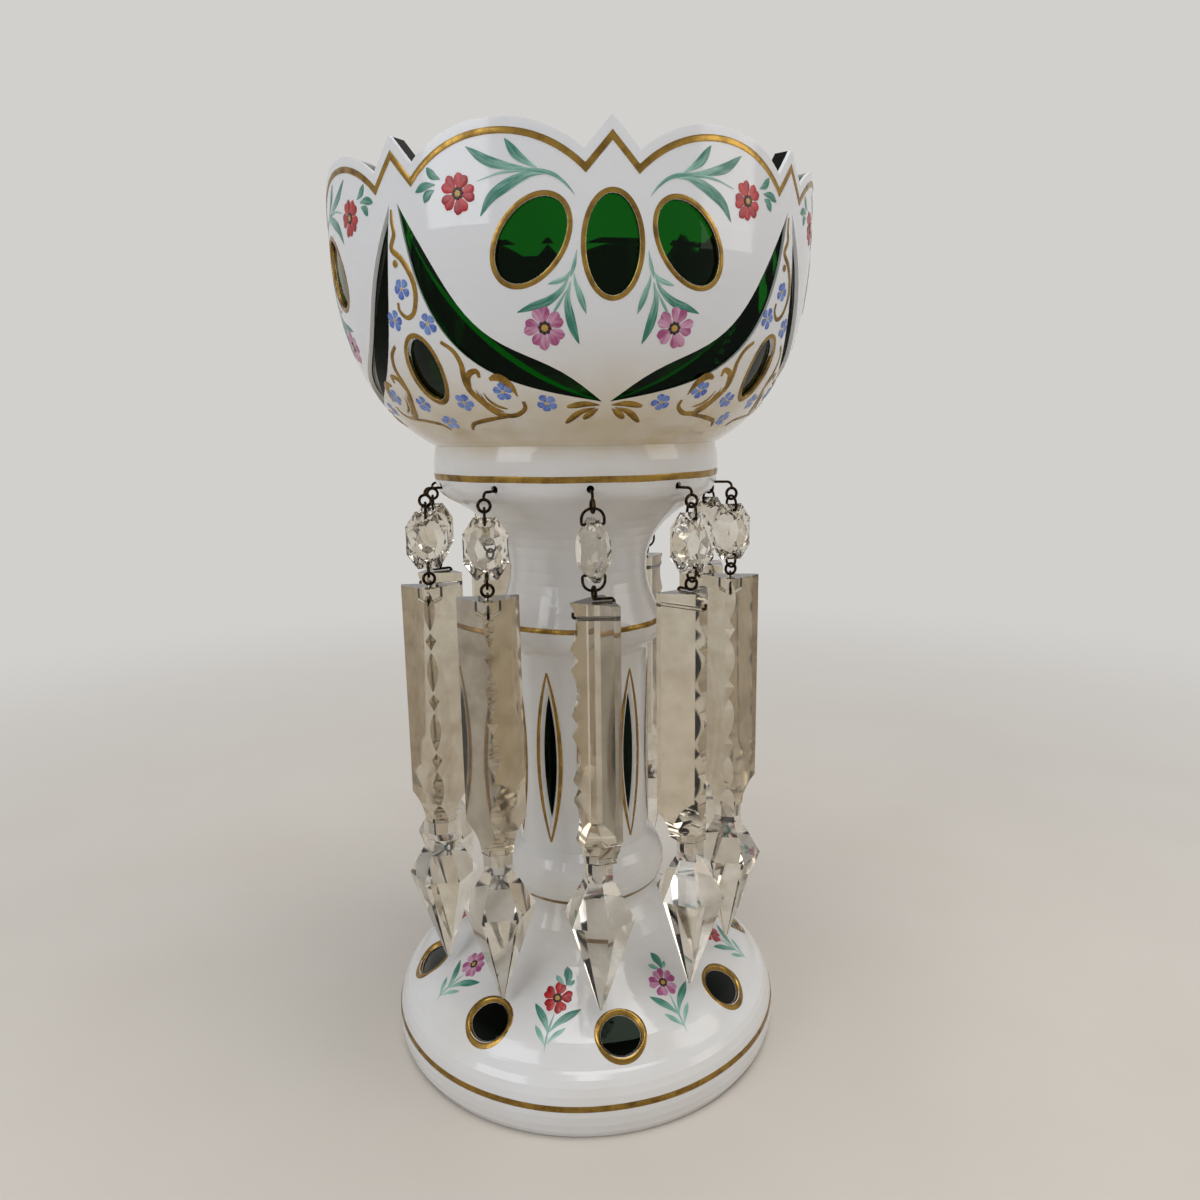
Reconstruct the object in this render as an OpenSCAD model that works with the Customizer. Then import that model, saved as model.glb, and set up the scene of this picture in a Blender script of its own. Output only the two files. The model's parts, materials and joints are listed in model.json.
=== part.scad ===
// Mantel lustre: a cased glass bowl on a waisted stem and a bell foot, hung with crystal drops.
// Millimetres, +Z up. The origin is the middle of the foot on the surface that it stands on,
// and the front of the lustre faces -Y. Angles run from the front towards +X.

/* [Glass layers] */
// Thickness of the white casing
white_t = 1.1; // [0.9:0.1:1.5]
// Thickness of the green glass under the casing
green_t = 3.9; // [3.6:0.1:4.6]

/* [Bowl] */
// Outer diameter of the bowl at the rim
bowl_d = 160.6; // [152:0.2:170]
// Height of the bowl from its seat to the rim
bowl_h = 83; // [76:0.5:92]
// Height of the straight wall under the rim
bowl_straight = 10; // [6:0.5:14]
// Fullness of the bowl's curve, where 2 is an ellipse
bowl_fullness = 2.7; // [2.4:0.1:3.1]
// Thickness of the bowl's floor
bowl_floor = 6; // [4.5:0.5:9]
// Width of a rim point between its two notches
tooth_w = 14.4; // [11:0.2:18]
// Height of a rim point above its notches
tooth_h = 8.1; // [5:0.1:10]

/* [Bowl windows] */
// Height of the three ovals above the bowl's seat
oval_z = 52; // [48:0.5:55]
// Width of the upright middle oval
mid_oval_w = 14.4; // [11:0.2:16]
// Height of the upright middle oval
mid_oval_h = 24.9; // [18:0.2:28]
// Short axis of a leaning side oval
side_oval_w = 15.6; // [11:0.2:16.4]
// Long axis of a leaning side oval
side_oval_h = 24.1; // [18:0.2:25]
// Lean of a side oval from upright, in degrees
side_oval_lean = 40; // [20:1:50]
// Turn from the middle oval to a side oval, in degrees
side_oval_turn = 15.6; // [15:0.1:17.5]
// How much higher than the middle oval a side oval sits
side_oval_raise = 1.2; // [0:0.1:2.4]
// Height of the low oval above the bowl's seat
low_oval_z = 22.5; // [20:0.5:26]
// Width of the low oval
low_oval_w = 11.2; // [8:0.2:13]
// Height of the low oval
low_oval_h = 17; // [12:0.2:19]
// Height of a crescent's upper tip above the bowl's seat
crescent_top_z = 66; // [62:0.5:69]
// Height of a crescent's lower tip above the bowl's seat
crescent_low_z = 12.5; // [11:0.5:15]
// Bow of a crescent's outer edge from its chord
crescent_bow = 16.8; // [15:0.2:17.6]
// Greatest width of a crescent
crescent_w = 8.8; // [7.6:0.2:10]
// Gap between the lower tips of a pair of crescents
crescent_gap = 2; // [1:0.2:5]
// Turn from a crescent's upper tip to the middle between two panels, in degrees
crescent_part = 1.1; // [0.8:0.1:2]
// Depth of the V groove that a crescent shows in the green glass
crescent_depth = 2.8; // [2:0.1:3]

/* [Stem] */
// Diameter of the collar where the bowl sits on it
seat_d = 99; // [95:0.5:103]
// Swell of the collar's belt beyond its seat
collar_swell = 0.9; // [0.5:0.1:2]
// Height of the collar's belt
collar_h = 14.6; // [13:0.2:18]
// Height from the narrowest neck to the collar's lower edge
collar_rise = 29; // [25:0.5:34]
// Diameter of the narrowest neck
neck_d = 49.8; // [46:0.2:54]
// Height from the shoulder ring to the narrowest neck
neck_rise = 20.4; // [17:0.2:25]
// Diameter of the shoulder ring
shoulder_d = 61.8; // [57:0.2:66]
// Height from the top of the column to the shoulder ring
shoulder_h = 11; // [9:0.5:14]
// Diameter of the column
column_d = 50; // [47:0.5:53]
// Length of the straight column
column_len = 71; // [66:0.5:78]
// Diameter of the round base of the column
base_d = 61.8; // [57:0.2:66]
// Height of the round base of the column
base_h = 19; // [16:0.5:22]
// Diameter where the stem joins the foot
throat_d = 54; // [51:0.5:57]

/* [Column cuts] */
// Length of a pointed cut on the column
mitre_len = 54; // [48:0.5:58]
// Width of a pointed cut on the column
mitre_w = 7; // [6:0.1:8.6]
// Depth of a pointed cut on the column
mitre_depth = 3.8; // [3:0.1:4]

/* [Foot] */
// Greatest diameter of the foot
foot_d = 146.8; // [140:0.4:156]
// Height of the foot up to the stem
foot_h = 57; // [52:0.5:62]
// How far the lip tucks in to the ring that it stands on
foot_tuck = 2.2; // [1:0.1:4]
// Height of the top of the lip
lip_h = 20.6; // [18:0.2:23]
// Width of the lip up to its inner valley
lip_w = 5.1; // [4:0.1:6]
// Diameter of the ring of round windows
foot_ring_d = 121; // [116:0.5:124]
// Height of the ring of round windows
foot_ring_z = 28; // [26:0.2:30]
// Fall of the foot across a window, in degrees from level
foot_fall = 29; // [24:0.5:34]
// Diameter of a round window
foot_window_d = 14; // [10:0.2:17]
// How much thicker than the bowl's the foot's glass is
foot_extra_t = 1; // [0.5:0.1:2]

/* [Wires] */
// Diameter of the wire
wire_d = 0.9; // [0.7:0.05:1.1]
// Diameter of the wire of an eye
eye_wire_d = 1; // [0.85:0.05:1.2]
// Radius of an eye, to the middle of its wire
eye_r = 1.9; // [1.7:0.05:2.4]
// Play between a wire and what it hangs in
play = 0.2; // [0.15:0.01:0.3]
// Drop of a hook from its hole to the middle of its eye
hook_drop = 4.1; // [3.6:0.1:6]
// Diameter of a hook's hole in the collar
hole_d = 2.4; // [1.8:0.1:3]
// Distance of the hooks' holes below the bowl's seat
hole_below_seat = 13.2; // [12:0.2:14]
// Radius at which the drops hang
drop_r = 55.5; // [54.5:0.1:58]

/* [Octagon beads] */
// Width of a bead
bead_w = 14.1; // [12:0.1:16]
// Height of a bead
bead_h = 19.5; // [17:0.1:22]
// Thickness of a bead
bead_t = 9.5; // [8:0.1:11]
// Thickness of a bead's edge
bead_edge = 1.6; // [1.2:0.1:2]
// Diameter of the holes in a bead
bead_hole_d = 1.5; // [1.3:0.05:1.8]
// Distance of a bead's holes from its ends
bead_hole_in = 2.2; // [1.9:0.1:2.6]

/* [Spear prisms] */
// Length of a prism
prism_len = 140; // [134:0.5:141]
// Width of the notched bar
bar_w = 20; // [17:0.2:22]
// Thickness of the notched bar
bar_t = 13.4; // [11:0.2:15]
// Thickness of the bar's side edges
bar_edge = 2.2; // [1.4:0.1:3]
// Length of the notched bar
bar_len = 85; // [80:0.5:88]
// Length of a long notch on the ridge
long_notch = 14.6; // [12:0.1:15]
// Length of a short notch on the ridge
short_notch = 6.8; // [5:0.1:7.2]
// Depth of the notches on the ridge
notch_depth = 2.1; // [1.4:0.1:2.6]
// Width of the neck over the spear, across its corners
neck_w = 9.6; // [8:0.2:11]
// Length of the neck over the spear
neck_len = 7; // [5:0.5:9]
// Width of the spear across its corners
spear_w = 24.4; // [21:0.2:25.4]
// Length of the spear's flare, from the neck to its widest
spear_flare = 13; // [10:0.5:16]
// Diameter of the prism's hole
prism_hole_d = 1.6; // [1.4:0.05:2]
// Distance of the prism's hole below its top
prism_hole_in = 5; // [4:0.1:6]

/* [Hidden] */
$fn = 96;
wire_fn = 24;
panel_n = 4;
drop_n = 10;
foot_window_n = 8;
mitre_n = 10;
notch_pairs = 3;
// Turns from the front, in degrees
ornament_turn = 8.5;
drop_turn = 5.5;
foot_window_turn = 11.3;
// Turn of each bead and prism on its wire, by eye
bead_turns = [37, -80, -25, -60, 25, -40, 65, 10, -70, 75];
prism_turns = [37, -82, -6, -86, 20, -35, 60, -12, 48, 72];
// Share of a crescent's width on the outer side of its groove's bottom
groove_share = 0.62;
// How far a crescent's inner edge is drawn in towards the lower tip
inner_low_pull = 3.2;
// Smoothness of the curves
bowl_steps = 20;
curve_steps = 8;
oval_steps = 40;
arc_steps = 14;
crescent_steps = 24;
// What a cutter reaches past the surface that it cuts
past = 2;

bowl_r = bowl_d / 2;
seat_r = seat_d / 2;
z_column = foot_h + base_h;
z_column_top = z_column + column_len;
z_shoulder = z_column_top + shoulder_h;
z_neck = z_shoulder + neck_rise;
z_collar = z_neck + collar_rise;
z_seat = z_collar + collar_h;
z_rim = z_seat + bowl_h;

// The bowl is a superellipse from its seat up to the straight wall
z_straight = z_rim - bowl_straight;
seat_reach = pow(1 - pow(seat_r / bowl_r, bowl_fullness), 1 / bowl_fullness);
bowl_drop = (z_straight - z_seat) / seat_reach;
wall_t = white_t + green_t;

// Levels down a drop, each from the one above it
z_hole = z_seat - hole_below_seat;
z_wire = z_hole - hole_d / 2 + wire_d / 2 + play;
z_eye = z_wire - hook_drop;
arch_h = 2.8;
link_step = (eye_wire_d + wire_d) / 2 + play;
z_arch = z_eye - eye_r + link_step;
z_bead_top = z_arch - arch_h;
z_bead = z_bead_top - bead_h / 2;
z_low_arch = z_bead_top - bead_h - arch_h;
z_link_eye = z_low_arch + link_step - eye_r;
z_prism = z_link_eye - eye_r - eye_wire_d / 2 - play;

// Places across a prism, where its front ridge faces -Y and the spear's axis is at 0
bar_back = bar_t * 0.42;
bar_front = bar_back - bar_t;
bar_clear = 0.3;
spear_r = spear_w / 2;
spear_len = prism_len - bar_len - neck_len - spear_flare;
tip_r = 0.6;

drop_names = ["collar_hook", "bead_loops", "octagon_bead", "prism_link", "spear_prism"];
glass_names = [
    "bowl_white_casing", "bowl_green_glass",
    "stem_white_casing", "stem_green_glass",
    "foot_white_casing", "foot_green_glass"
];

white_glass = "#EEF1F6";
green_glass = "#0B4A14";
crystal = "#E6E1D6";
dark_wire = "#2B231C";

// Points and curves

function unit(v) = v / norm(v);

function bezier(a, b, c, d) = [
    for (i = [1:curve_steps])
        let (t = i / curve_steps, s = 1 - t)
        a * s * s * s + b * 3 * s * s * t + c * 3 * s * t * t + d * t * t * t
];

// Moves an open outline to its left by d, and its two ends level
function inset(p, d) = [
    for (i = [0:len(p) - 1])
        (i == 0 || i == len(p) - 1)
        ? p[i] - [d, 0]
        : let (v = unit(p[i + 1] - p[i - 1])) p[i] + d * [-v.y, v.x]
];

function reversed(p) = [for (i = [len(p) - 1:-1:0]) p[i]];

function oval(w, h) = [
    for (i = [0:oval_steps - 1])
        let (a = 360 * i / oval_steps) [w / 2 * cos(a), h / 2 * sin(a)]
];

// Radius of the bowl at a height, at a depth under its outer surface
function bowl_radius(z, d) =
    let (u = max(0, (z_straight - z) / (bowl_drop - d)))
    (bowl_r - d) * pow(1 - pow(u, bowl_fullness), 1 / bowl_fullness);

// The bowl's outline at a depth, from a height up to the rim
function bowl_side(d, z_from) =
    let (
        u = (z_straight - z_from) / (bowl_drop - d),
        low = asin(pow(u, bowl_fullness / 2))
    )
    concat(
        [
            for (i = [0:bowl_steps])
                let (t = low * (1 - i / bowl_steps))
                [
                    (bowl_r - d) * pow(cos(t), 2 / bowl_fullness),
                    z_straight - (bowl_drop - d) * pow(sin(t), 2 / bowl_fullness)
                ]
        ],
        [[bowl_r - d, z_rim]]
    );

// The stem's outline, from its joint with the foot up to the bowl's seat
throat_r = throat_d / 2;
column_r = column_d / 2;
shoulder_r = shoulder_d / 2;
neck_r = neck_d / 2;
base_full = (base_d / 2 - (throat_r + column_r) / 8) * 4 / 3;
collar_low = [seat_r - 4.2, z_collar - 3.8];
collar_edge = [seat_r + 0.4, z_collar + 2.1];
stem_side = concat(
    [[throat_r, foot_h]],
    bezier(
        [throat_r, foot_h], [base_full, foot_h + base_h * 0.16],
        [base_full, foot_h + base_h * 0.68], [column_r, z_column]
    ),
    bezier(
        [column_r, z_column_top], [column_r, z_column_top + shoulder_h * 0.42],
        [shoulder_r, z_column_top + shoulder_h * 0.3], [shoulder_r, z_shoulder]
    ),
    bezier(
        [shoulder_r, z_shoulder], [shoulder_r, z_shoulder + neck_rise * 0.2],
        [neck_r + 0.4, z_shoulder + neck_rise * 0.4], [neck_r, z_neck]
    ),
    bezier(
        [neck_r, z_neck], [neck_r, z_neck + collar_rise * 0.45],
        collar_low - [9.3, 5.1], collar_low
    ),
    bezier(
        collar_low, collar_low + [2.9, 1.6],
        collar_edge - [0.3, 2.5], collar_edge
    ),
    bezier(
        collar_edge, [seat_r + collar_swell * 4 / 3, z_collar + collar_h * 0.4],
        [seat_r + collar_swell * 4 / 3, z_seat - collar_h * 0.27], [seat_r, z_seat]
    )
);

// The hollow inside the stem, from the foot up to the bowl's seat
bore_r = column_r - wall_t;
collar_bore_r = seat_r - wall_t;
stem_bore = concat(
    [[bore_r, foot_h], [bore_r, z_neck]],
    bezier(
        [bore_r, z_neck], [bore_r, z_neck + collar_rise * 0.5],
        [collar_bore_r, z_collar - 3], [collar_bore_r, z_collar + 1]
    ),
    [[collar_bore_r, z_seat]]
);

// The foot's outline, from the ring that it stands on up to the stem
foot_r = foot_d / 2;
lip_in = [foot_r - lip_w, lip_h];
ring_at = [foot_ring_d / 2, foot_ring_z];
ring_fall = [cos(foot_fall), -sin(foot_fall)];
foot_side = concat(
    [[foot_r - foot_tuck, 0]],
    bezier(
        [foot_r - foot_tuck, 0], [foot_r + 2.1, lip_h * 0.29],
        [foot_r - 1.1, lip_h * 0.92], lip_in
    ),
    bezier(lip_in, lip_in + [-2.3, 1.2], ring_at + ring_fall * 4.2, ring_at),
    bezier(
        ring_at, ring_at - ring_fall * 14.3,
        [throat_r + 3, foot_h - 11], [throat_r, foot_h]
    )
);

// Placing

module facing(turn) {
    rotate([0, 0, turn]) children();
}

module around(count, turn) {
    for (i = [0:count - 1]) facing(turn + i * 360 / count) children();
}

module drop(i) {
    facing(drop_turn + (i - 2) * 360 / drop_n) translate([0, -drop_r, 0]) children();
}

// Pushes an outline on the XZ plane out through the front wall
module through_front(z, reach) {
    translate([0, -reach / 3, z]) rotate([90, 0, 0]) linear_extrude(reach) children();
}

// Cuts in the glass

// Everything above the pointed rim, one point wide, round the middle of a point
module rim_cut() {
    side = bowl_r * sin(90 / panel_n);
    rise = 0.3;
    run = side - tooth_w / 2;
    arc_r = (run * run + pow(tooth_h + rise, 2)) / (2 * (tooth_h + rise));
    slope = tooth_w / 2 / tooth_h;
    arc_turn = asin(run / arc_r);
    edge = concat(
        [[0.25, z_rim + past], [0.25, z_rim], [0.25 + slope * tooth_h, z_rim - tooth_h]],
        [
            for (i = [1:arc_steps])
                let (t = arc_turn * (1 - i / arc_steps))
                [side - arc_r * sin(t), z_rim + rise - arc_r * (1 - cos(t))]
        ],
        [[side, z_rim + past]]
    );
    for (m = [0, 1]) mirror([m, 0, 0]) through_front(0, bowl_d) polygon(edge);
}

// A crescent's tips on the flat of its own turn, as [x, z]
crescent_turn = 90 / panel_n;
crescent_top = [-bowl_r * sin(crescent_turn - crescent_part), z_seat + crescent_top_z];
crescent_low = [
    bowl_radius(z_seat + crescent_low_z, 0) * sin(crescent_turn) - crescent_gap / 2,
    z_seat + crescent_low_z
];

// An edge of a crescent from tip to tip, which a higher pull draws in towards that tip
function crescent_edge(bow, top_pull, low_pull) =
    let (
        chord = crescent_low - crescent_top,
        side = unit([chord.y, -chord.x])
    )
    [
        for (i = [0:crescent_steps])
            let (t = i / crescent_steps, pull = top_pull + t * (low_pull - top_pull))
            crescent_top + t * chord + bow * pow(cos(90 * (2 * t - 1)), pull) * side
    ];

module crescent_window() {
    outer = crescent_edge(crescent_bow, 1, 1);
    inner = crescent_edge(crescent_bow - crescent_w, 1, inner_low_pull);
    last = len(inner) - 2;
    facing(-crescent_turn) through_front(0, bowl_d)
        polygon(concat(outer, [for (i = [last:-1:1]) inner[i]]));
}

// The place on the green glass behind a point of the flat, and the way out of the glass there
function on_green(p) = [p.x, -sqrt(pow(bowl_radius(p.y, white_t), 2) - p.x * p.x), p.y];

function green_out(p) =
    let (
        r = bowl_radius(p.y, white_t),
        step = 0.1,
        rise = bowl_radius(p.y + step, white_t) - bowl_radius(p.y - step, white_t)
    )
    unit([p.x / r, -sqrt(r * r - p.x * p.x) / r, -rise / (2 * step)]);

// A wheel's V groove round a circle that meets the green glass at both tips and runs deep between,
// with its bottom nearer to the inner edge
module crescent_groove() {
    outer_w = crescent_w * groove_share;
    bow = crescent_bow - outer_w;
    along = unit(crescent_low - crescent_top);
    deepest = (crescent_top + crescent_low) / 2 + bow * [along.y, -along.x];
    out = green_out(deepest);
    bottom = on_green(deepest) - crescent_depth * out;
    a = on_green(crescent_top) - bottom;
    b = on_green(crescent_low) - bottom;
    normal = cross(b, a);
    centre = bottom + cross(b * (a * a) - a * (b * b), cross(a, b)) / (2 * normal * normal);
    axis = unit(normal);
    from_centre = bottom - centre;
    ring_r = norm(from_centre);
    past_tips = 1.1;
    reach = past_tips * 2 * asin(max(norm(a), norm(b)) / 2 / ring_r);
    u = unit(from_centre);
    v = cross(axis, u);
    // The groove's two sides, either side of the way out of the glass
    lean = atan2(out * u, out * axis);
    outer_turn = atan(outer_w / crescent_depth);
    inner_turn = atan((crescent_w - outer_w) / crescent_depth);
    side = 4 * crescent_depth;
    facing(-crescent_turn) translate(centre)
        multmatrix([[u.x, v.x, axis.x, 0], [u.y, v.y, axis.y, 0], [u.z, v.z, axis.z, 0]])
            rotate(-reach) rotate_extrude(angle = 2 * reach, $fn = 360)
                polygon([
                    [ring_r, 0],
                    [ring_r + side * sin(lean + outer_turn), side * cos(lean + outer_turn)],
                    [ring_r + side * sin(lean - inner_turn), side * cos(lean - inner_turn)]
                ]);
}

module bowl_windows() {
    around(panel_n, ornament_turn) {
        through_front(z_seat + oval_z, bowl_d) polygon(oval(mid_oval_w, mid_oval_h));
        for (m = [0, 1]) mirror([m, 0, 0]) {
            facing(side_oval_turn) through_front(z_seat + oval_z + side_oval_raise, bowl_d)
                rotate(side_oval_lean) polygon(oval(side_oval_w, side_oval_h));
            crescent_window();
        }
    }
    around(panel_n, ornament_turn + 180 / panel_n)
        through_front(z_seat + low_oval_z, bowl_d) polygon(oval(low_oval_w, low_oval_h));
}

// The path of a grinding wheel with a V edge, whose cut comes to a point at both ends
module mitre_cut() {
    wheel_r = pow(mitre_len / 2, 2) / (2 * mitre_depth);
    deep = mitre_depth + past;
    half = mitre_w / 2 / mitre_depth * deep;
    reach = asin(column_len / 2 / wheel_r);
    translate([0, -(column_r - mitre_depth + wheel_r), z_column + column_len / 2])
        rotate([0, 90, 0]) rotate(90 - reach)
            rotate_extrude(angle = 2 * reach, $fn = 360)
                polygon([[wheel_r, 0], [wheel_r - deep, half], [wheel_r - deep, -half]]);
}

module foot_window() {
    translate([0, -ring_at.x, ring_at.y]) rotate([foot_fall, 0, 0])
        translate([0, 0, -white_t - past])
            cylinder(
                h = white_t + 2 * past,
                r1 = foot_window_d / 2 - past,
                r2 = foot_window_d / 2 + white_t + past
            );
}

module hook_hole() {
    translate([0, -seat_r - past, z_hole]) rotate([-90, 0, 0]) cylinder(d = hole_d, h = wall_t + 2 * past);
}

// The glass

module bowl_white_casing() {
    color(white_glass) difference() {
        rotate_extrude()
            polygon(concat(bowl_side(0, z_seat), reversed(bowl_side(white_t, z_seat))));
        around(2 * panel_n, ornament_turn) rim_cut();
        bowl_windows();
    }
}

module bowl_green_glass() {
    z_floor = z_seat + bowl_floor;
    color(green_glass) difference() {
        rotate_extrude()
            polygon(concat(
                [[0, z_seat]], bowl_side(white_t, z_seat),
                reversed(bowl_side(wall_t, z_floor)), [[0, z_floor]]
            ));
        around(2 * panel_n, ornament_turn) rim_cut();
        around(panel_n, ornament_turn) for (m = [0, 1]) mirror([m, 0, 0]) crescent_groove();
    }
}

module stem_white_casing() {
    color(white_glass) difference() {
        rotate_extrude() polygon(concat(stem_side, reversed(inset(stem_side, white_t))));
        around(mitre_n, ornament_turn) mitre_cut();
        around(drop_n, drop_turn) hook_hole();
    }
}

module stem_green_glass() {
    color(green_glass) difference() {
        rotate_extrude() polygon(concat(inset(stem_side, white_t), reversed(stem_bore)));
        around(mitre_n, ornament_turn) mitre_cut();
        around(drop_n, drop_turn) hook_hole();
    }
}

module foot_white_casing() {
    color(white_glass) difference() {
        rotate_extrude() polygon(concat(foot_side, reversed(inset(foot_side, white_t))));
        around(foot_window_n, foot_window_turn) foot_window();
    }
}

module foot_green_glass() {
    color(green_glass)
        rotate_extrude()
            polygon(concat(inset(foot_side, white_t), reversed(inset(foot_side, wall_t + foot_extra_t))));
}

// Wires, each bent in one upright plane

// A wire along points on the XY plane with square corners, each bent to its own radius
module bent_wire(p, bends) {
    last = len(p) - 1;
    turns = [
        for (i = [0:last])
            (i == 0 || i == last)
            ? 0
            : let (a = p[i] - p[i - 1], b = p[i + 1] - p[i]) atan2(cross(a, b), a * b)
    ];
    used = [for (i = [0:last]) bends[i] * tan(abs(turns[i]) / 2)];
    for (i = [0:last - 1]) {
        along = unit(p[i + 1] - p[i]);
        straight = norm(p[i + 1] - p[i]) - used[i] - used[i + 1];
        translate(p[i] + along * used[i])
            rotate([0, 90, atan2(along.y, along.x)])
                cylinder(d = wire_d, h = straight, $fn = wire_fn);
    }
    for (i = [1:last - 1]) {
        along = unit(p[i] - p[i - 1]);
        side = sign(turns[i]) * [-along.y, along.x];
        start = atan2(-side.y, -side.x);
        translate(p[i] - along * used[i] + side * bends[i])
            rotate(turns[i] > 0 ? start : start + turns[i])
                rotate_extrude(angle = abs(turns[i]), $fn = 4 * wire_fn)
                    translate([bends[i], 0]) circle(d = wire_d, $fn = wire_fn);
    }
}

// Stands a wire up in the plane through the drop's line, with its x towards the back
module upright(turn) {
    rotate([0, 0, turn]) rotate([90, 0, 90]) children();
}

module eye(z, turn) {
    translate([0, 0, z]) rotate([0, 0, turn]) rotate([90, 0, 0])
        rotate_extrude($fn = 4 * wire_fn)
            translate([eye_r, 0]) circle(d = eye_wire_d, $fn = wire_fn);
}

module collar_hook(i) {
    inside = drop_r - collar_bore_r + wire_d / 2 + 1.2;
    tail = 3;
    color(dark_wire) drop(i) {
        upright(0)
            bent_wire(
                [[inside, z_wire + tail], [inside, z_wire], [0, z_wire], [0, z_eye + eye_r]],
                [1, 1, 1.6, 1]
            );
        eye(z_eye, bead_turns[i - 1]);
    }
}

// A bow that clips into a bead: both of its ends stop inside the bead's hole
module bead_loop() {
    pin = bead_h / 2 - bead_hole_in + (bead_hole_d - wire_d) / 2 - play / 2;
    wide = bead_t * 0.38;
    top = bead_h / 2 + arch_h;
    end = 0.4;
    bent_wire(
        [[end, pin], [wide, pin], [wide, top], [-wide, top], [-wide, pin], [-end, pin]],
        [1, 0.6, wide * 0.9, wide * 0.9, 0.6, 1]
    );
}

module bead_loops(i) {
    color(dark_wire) drop(i) translate([0, 0, z_bead]) {
        upright(bead_turns[i - 1]) bead_loop();
        upright(bead_turns[i - 1]) rotate([180, 0, 0]) bead_loop();
    }
}

module prism_link(i) {
    back = bar_back + bar_clear + wire_d / 2;
    front = -bar_front - notch_depth + bar_clear + wire_d / 2 + 0.4;
    z_top = z_link_eye - eye_r;
    z_pin = z_prism - prism_hole_in + (prism_hole_d - wire_d) / 2 - play;
    color(dark_wire) drop(i) {
        eye(z_link_eye, bead_turns[i - 1]);
        upright(prism_turns[i - 1])
            bent_wire(
                [[-0.2, z_top], [back, z_top], [back, z_pin], [-front, z_pin], [-front, z_pin + 1.7]],
                [1, 1.2, 0.8, 0.6, 1]
            );
    }
}

// Cut crystal

module octagon_bead(i) {
    corner = bead_w * 0.29;
    edge = [
        for (s = [[1, 1], [-1, 1], [-1, -1], [1, -1]])
            each [
                [s.x * bead_w / 2, s.y * (bead_h / 2 - corner * 1.25)],
                [s.x * (bead_w / 2 - corner * 0.85), s.y * bead_h / 2]
            ]
    ];
    table = [for (a = [0:45:315]) [bead_w * 0.25 * cos(a), bead_h * 0.26 * sin(a)]];
    color(crystal) drop(i) translate([0, 0, z_bead]) rotate([0, 0, bead_turns[i - 1]])
        difference() {
            hull() {
                rotate([90, 0, 0]) linear_extrude(bead_edge, center = true) polygon(edge);
                rotate([90, 0, 0]) linear_extrude(bead_t, center = true) polygon(table);
            }
            for (z = [-1, 1]) translate([0, bead_t, z * (bead_h / 2 - bead_hole_in)])
                rotate([90, 0, 0]) cylinder(d = bead_hole_d, h = 2 * bead_t, $fn = wire_fn);
        }
}

// The bar hangs down from 0: a long flat back, two sloping faces and a notched front ridge
module notched_bar() {
    pitch = long_notch + short_notch;
    land = 0.4;
    long_half = long_notch / 2 - land;
    long_r = (long_half * long_half + notch_depth * notch_depth) / (2 * notch_depth);
    short_half = (short_notch / 2 - land) * (notch_depth + past) / notch_depth;
    scoop_r = 12;
    ledge = 0.5;
    side_scoop = neck_w / 2 + ledge + scoop_r;
    face_scoop = neck_w * sqrt(3) / 4 + ledge + scoop_r;
    difference() {
        translate([0, 0, -bar_len]) linear_extrude(bar_len)
            polygon([
                [-bar_w / 2, bar_back], [bar_w / 2, bar_back],
                [bar_w / 2, bar_back - bar_edge], [0, bar_front], [-bar_w / 2, bar_back - bar_edge]
            ]);
        for (k = [0:notch_pairs]) translate([-bar_w / 2, bar_front, -pitch * k]) {
            translate([0, notch_depth - long_r, -long_notch / 2]) rotate([0, 90, 0])
                cylinder(r = long_r, h = bar_w);
            if (k < notch_pairs)
                translate([0, 0, -pitch + short_notch / 2]) rotate([90, 0, 90]) linear_extrude(bar_w)
                    polygon([[notch_depth, 0], [-past, short_half], [-past, -short_half]]);
        }
        for (s = [-1, 1]) {
            translate([s * side_scoop, bar_t, -bar_len])
                rotate([90, 0, 0]) cylinder(r = scoop_r, h = 2 * bar_t);
            translate([-bar_w, s * face_scoop, -bar_len])
                rotate([0, 90, 0]) cylinder(r = scoop_r, h = 2 * bar_w);
        }
        translate([0, bar_t, -prism_hole_in]) rotate([90, 0, 0])
            cylinder(d = prism_hole_d, h = 2 * bar_t, $fn = wire_fn);
    }
}

module spear_prism(i) {
    neck_top = -bar_len + 1;
    neck_end = -bar_len - neck_len;
    widest = neck_end - spear_flare;
    color(crystal) drop(i) translate([0, 0, z_prism]) rotate([0, 0, prism_turns[i - 1]]) {
        notched_bar();
        translate([0, 0, neck_end]) cylinder(d = neck_w, h = neck_top - neck_end, $fn = 6);
        translate([0, 0, widest]) cylinder(r1 = spear_r, d2 = neck_w, h = spear_flare, $fn = 6);
        translate([0, 0, -prism_len]) cylinder(r1 = tip_r, r2 = spear_r, h = spear_len, $fn = 6);
    }
}

bowl_white_casing();
bowl_green_glass();
stem_white_casing();
stem_green_glass();
foot_white_casing();
foot_green_glass();
for (i = [1:drop_n]) {
    collar_hook(i);
    bead_loops(i);
    octagon_bead(i);
    prism_link(i);
    spear_prism(i);
}
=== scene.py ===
# %% [markdown]
# # A mantel lustre of cased glass
# The lustre is a bowl on a stem and a foot, blown in green glass under a thin white casing. Windows are
# cut through the white, flowers are painted on it, the edges are gilded, and ten chains of cut crystal
# hang from the collar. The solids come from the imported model. This lesson gives them their finishes and
# adds what a painter and a gilder added: enamel and gold, as thin raised strokes on the glass.

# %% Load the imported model
import json
import math

import bpy
import numpy as np
from mathutils import Matrix, Vector
from mathutils.bvhtree import BVHTree

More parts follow.
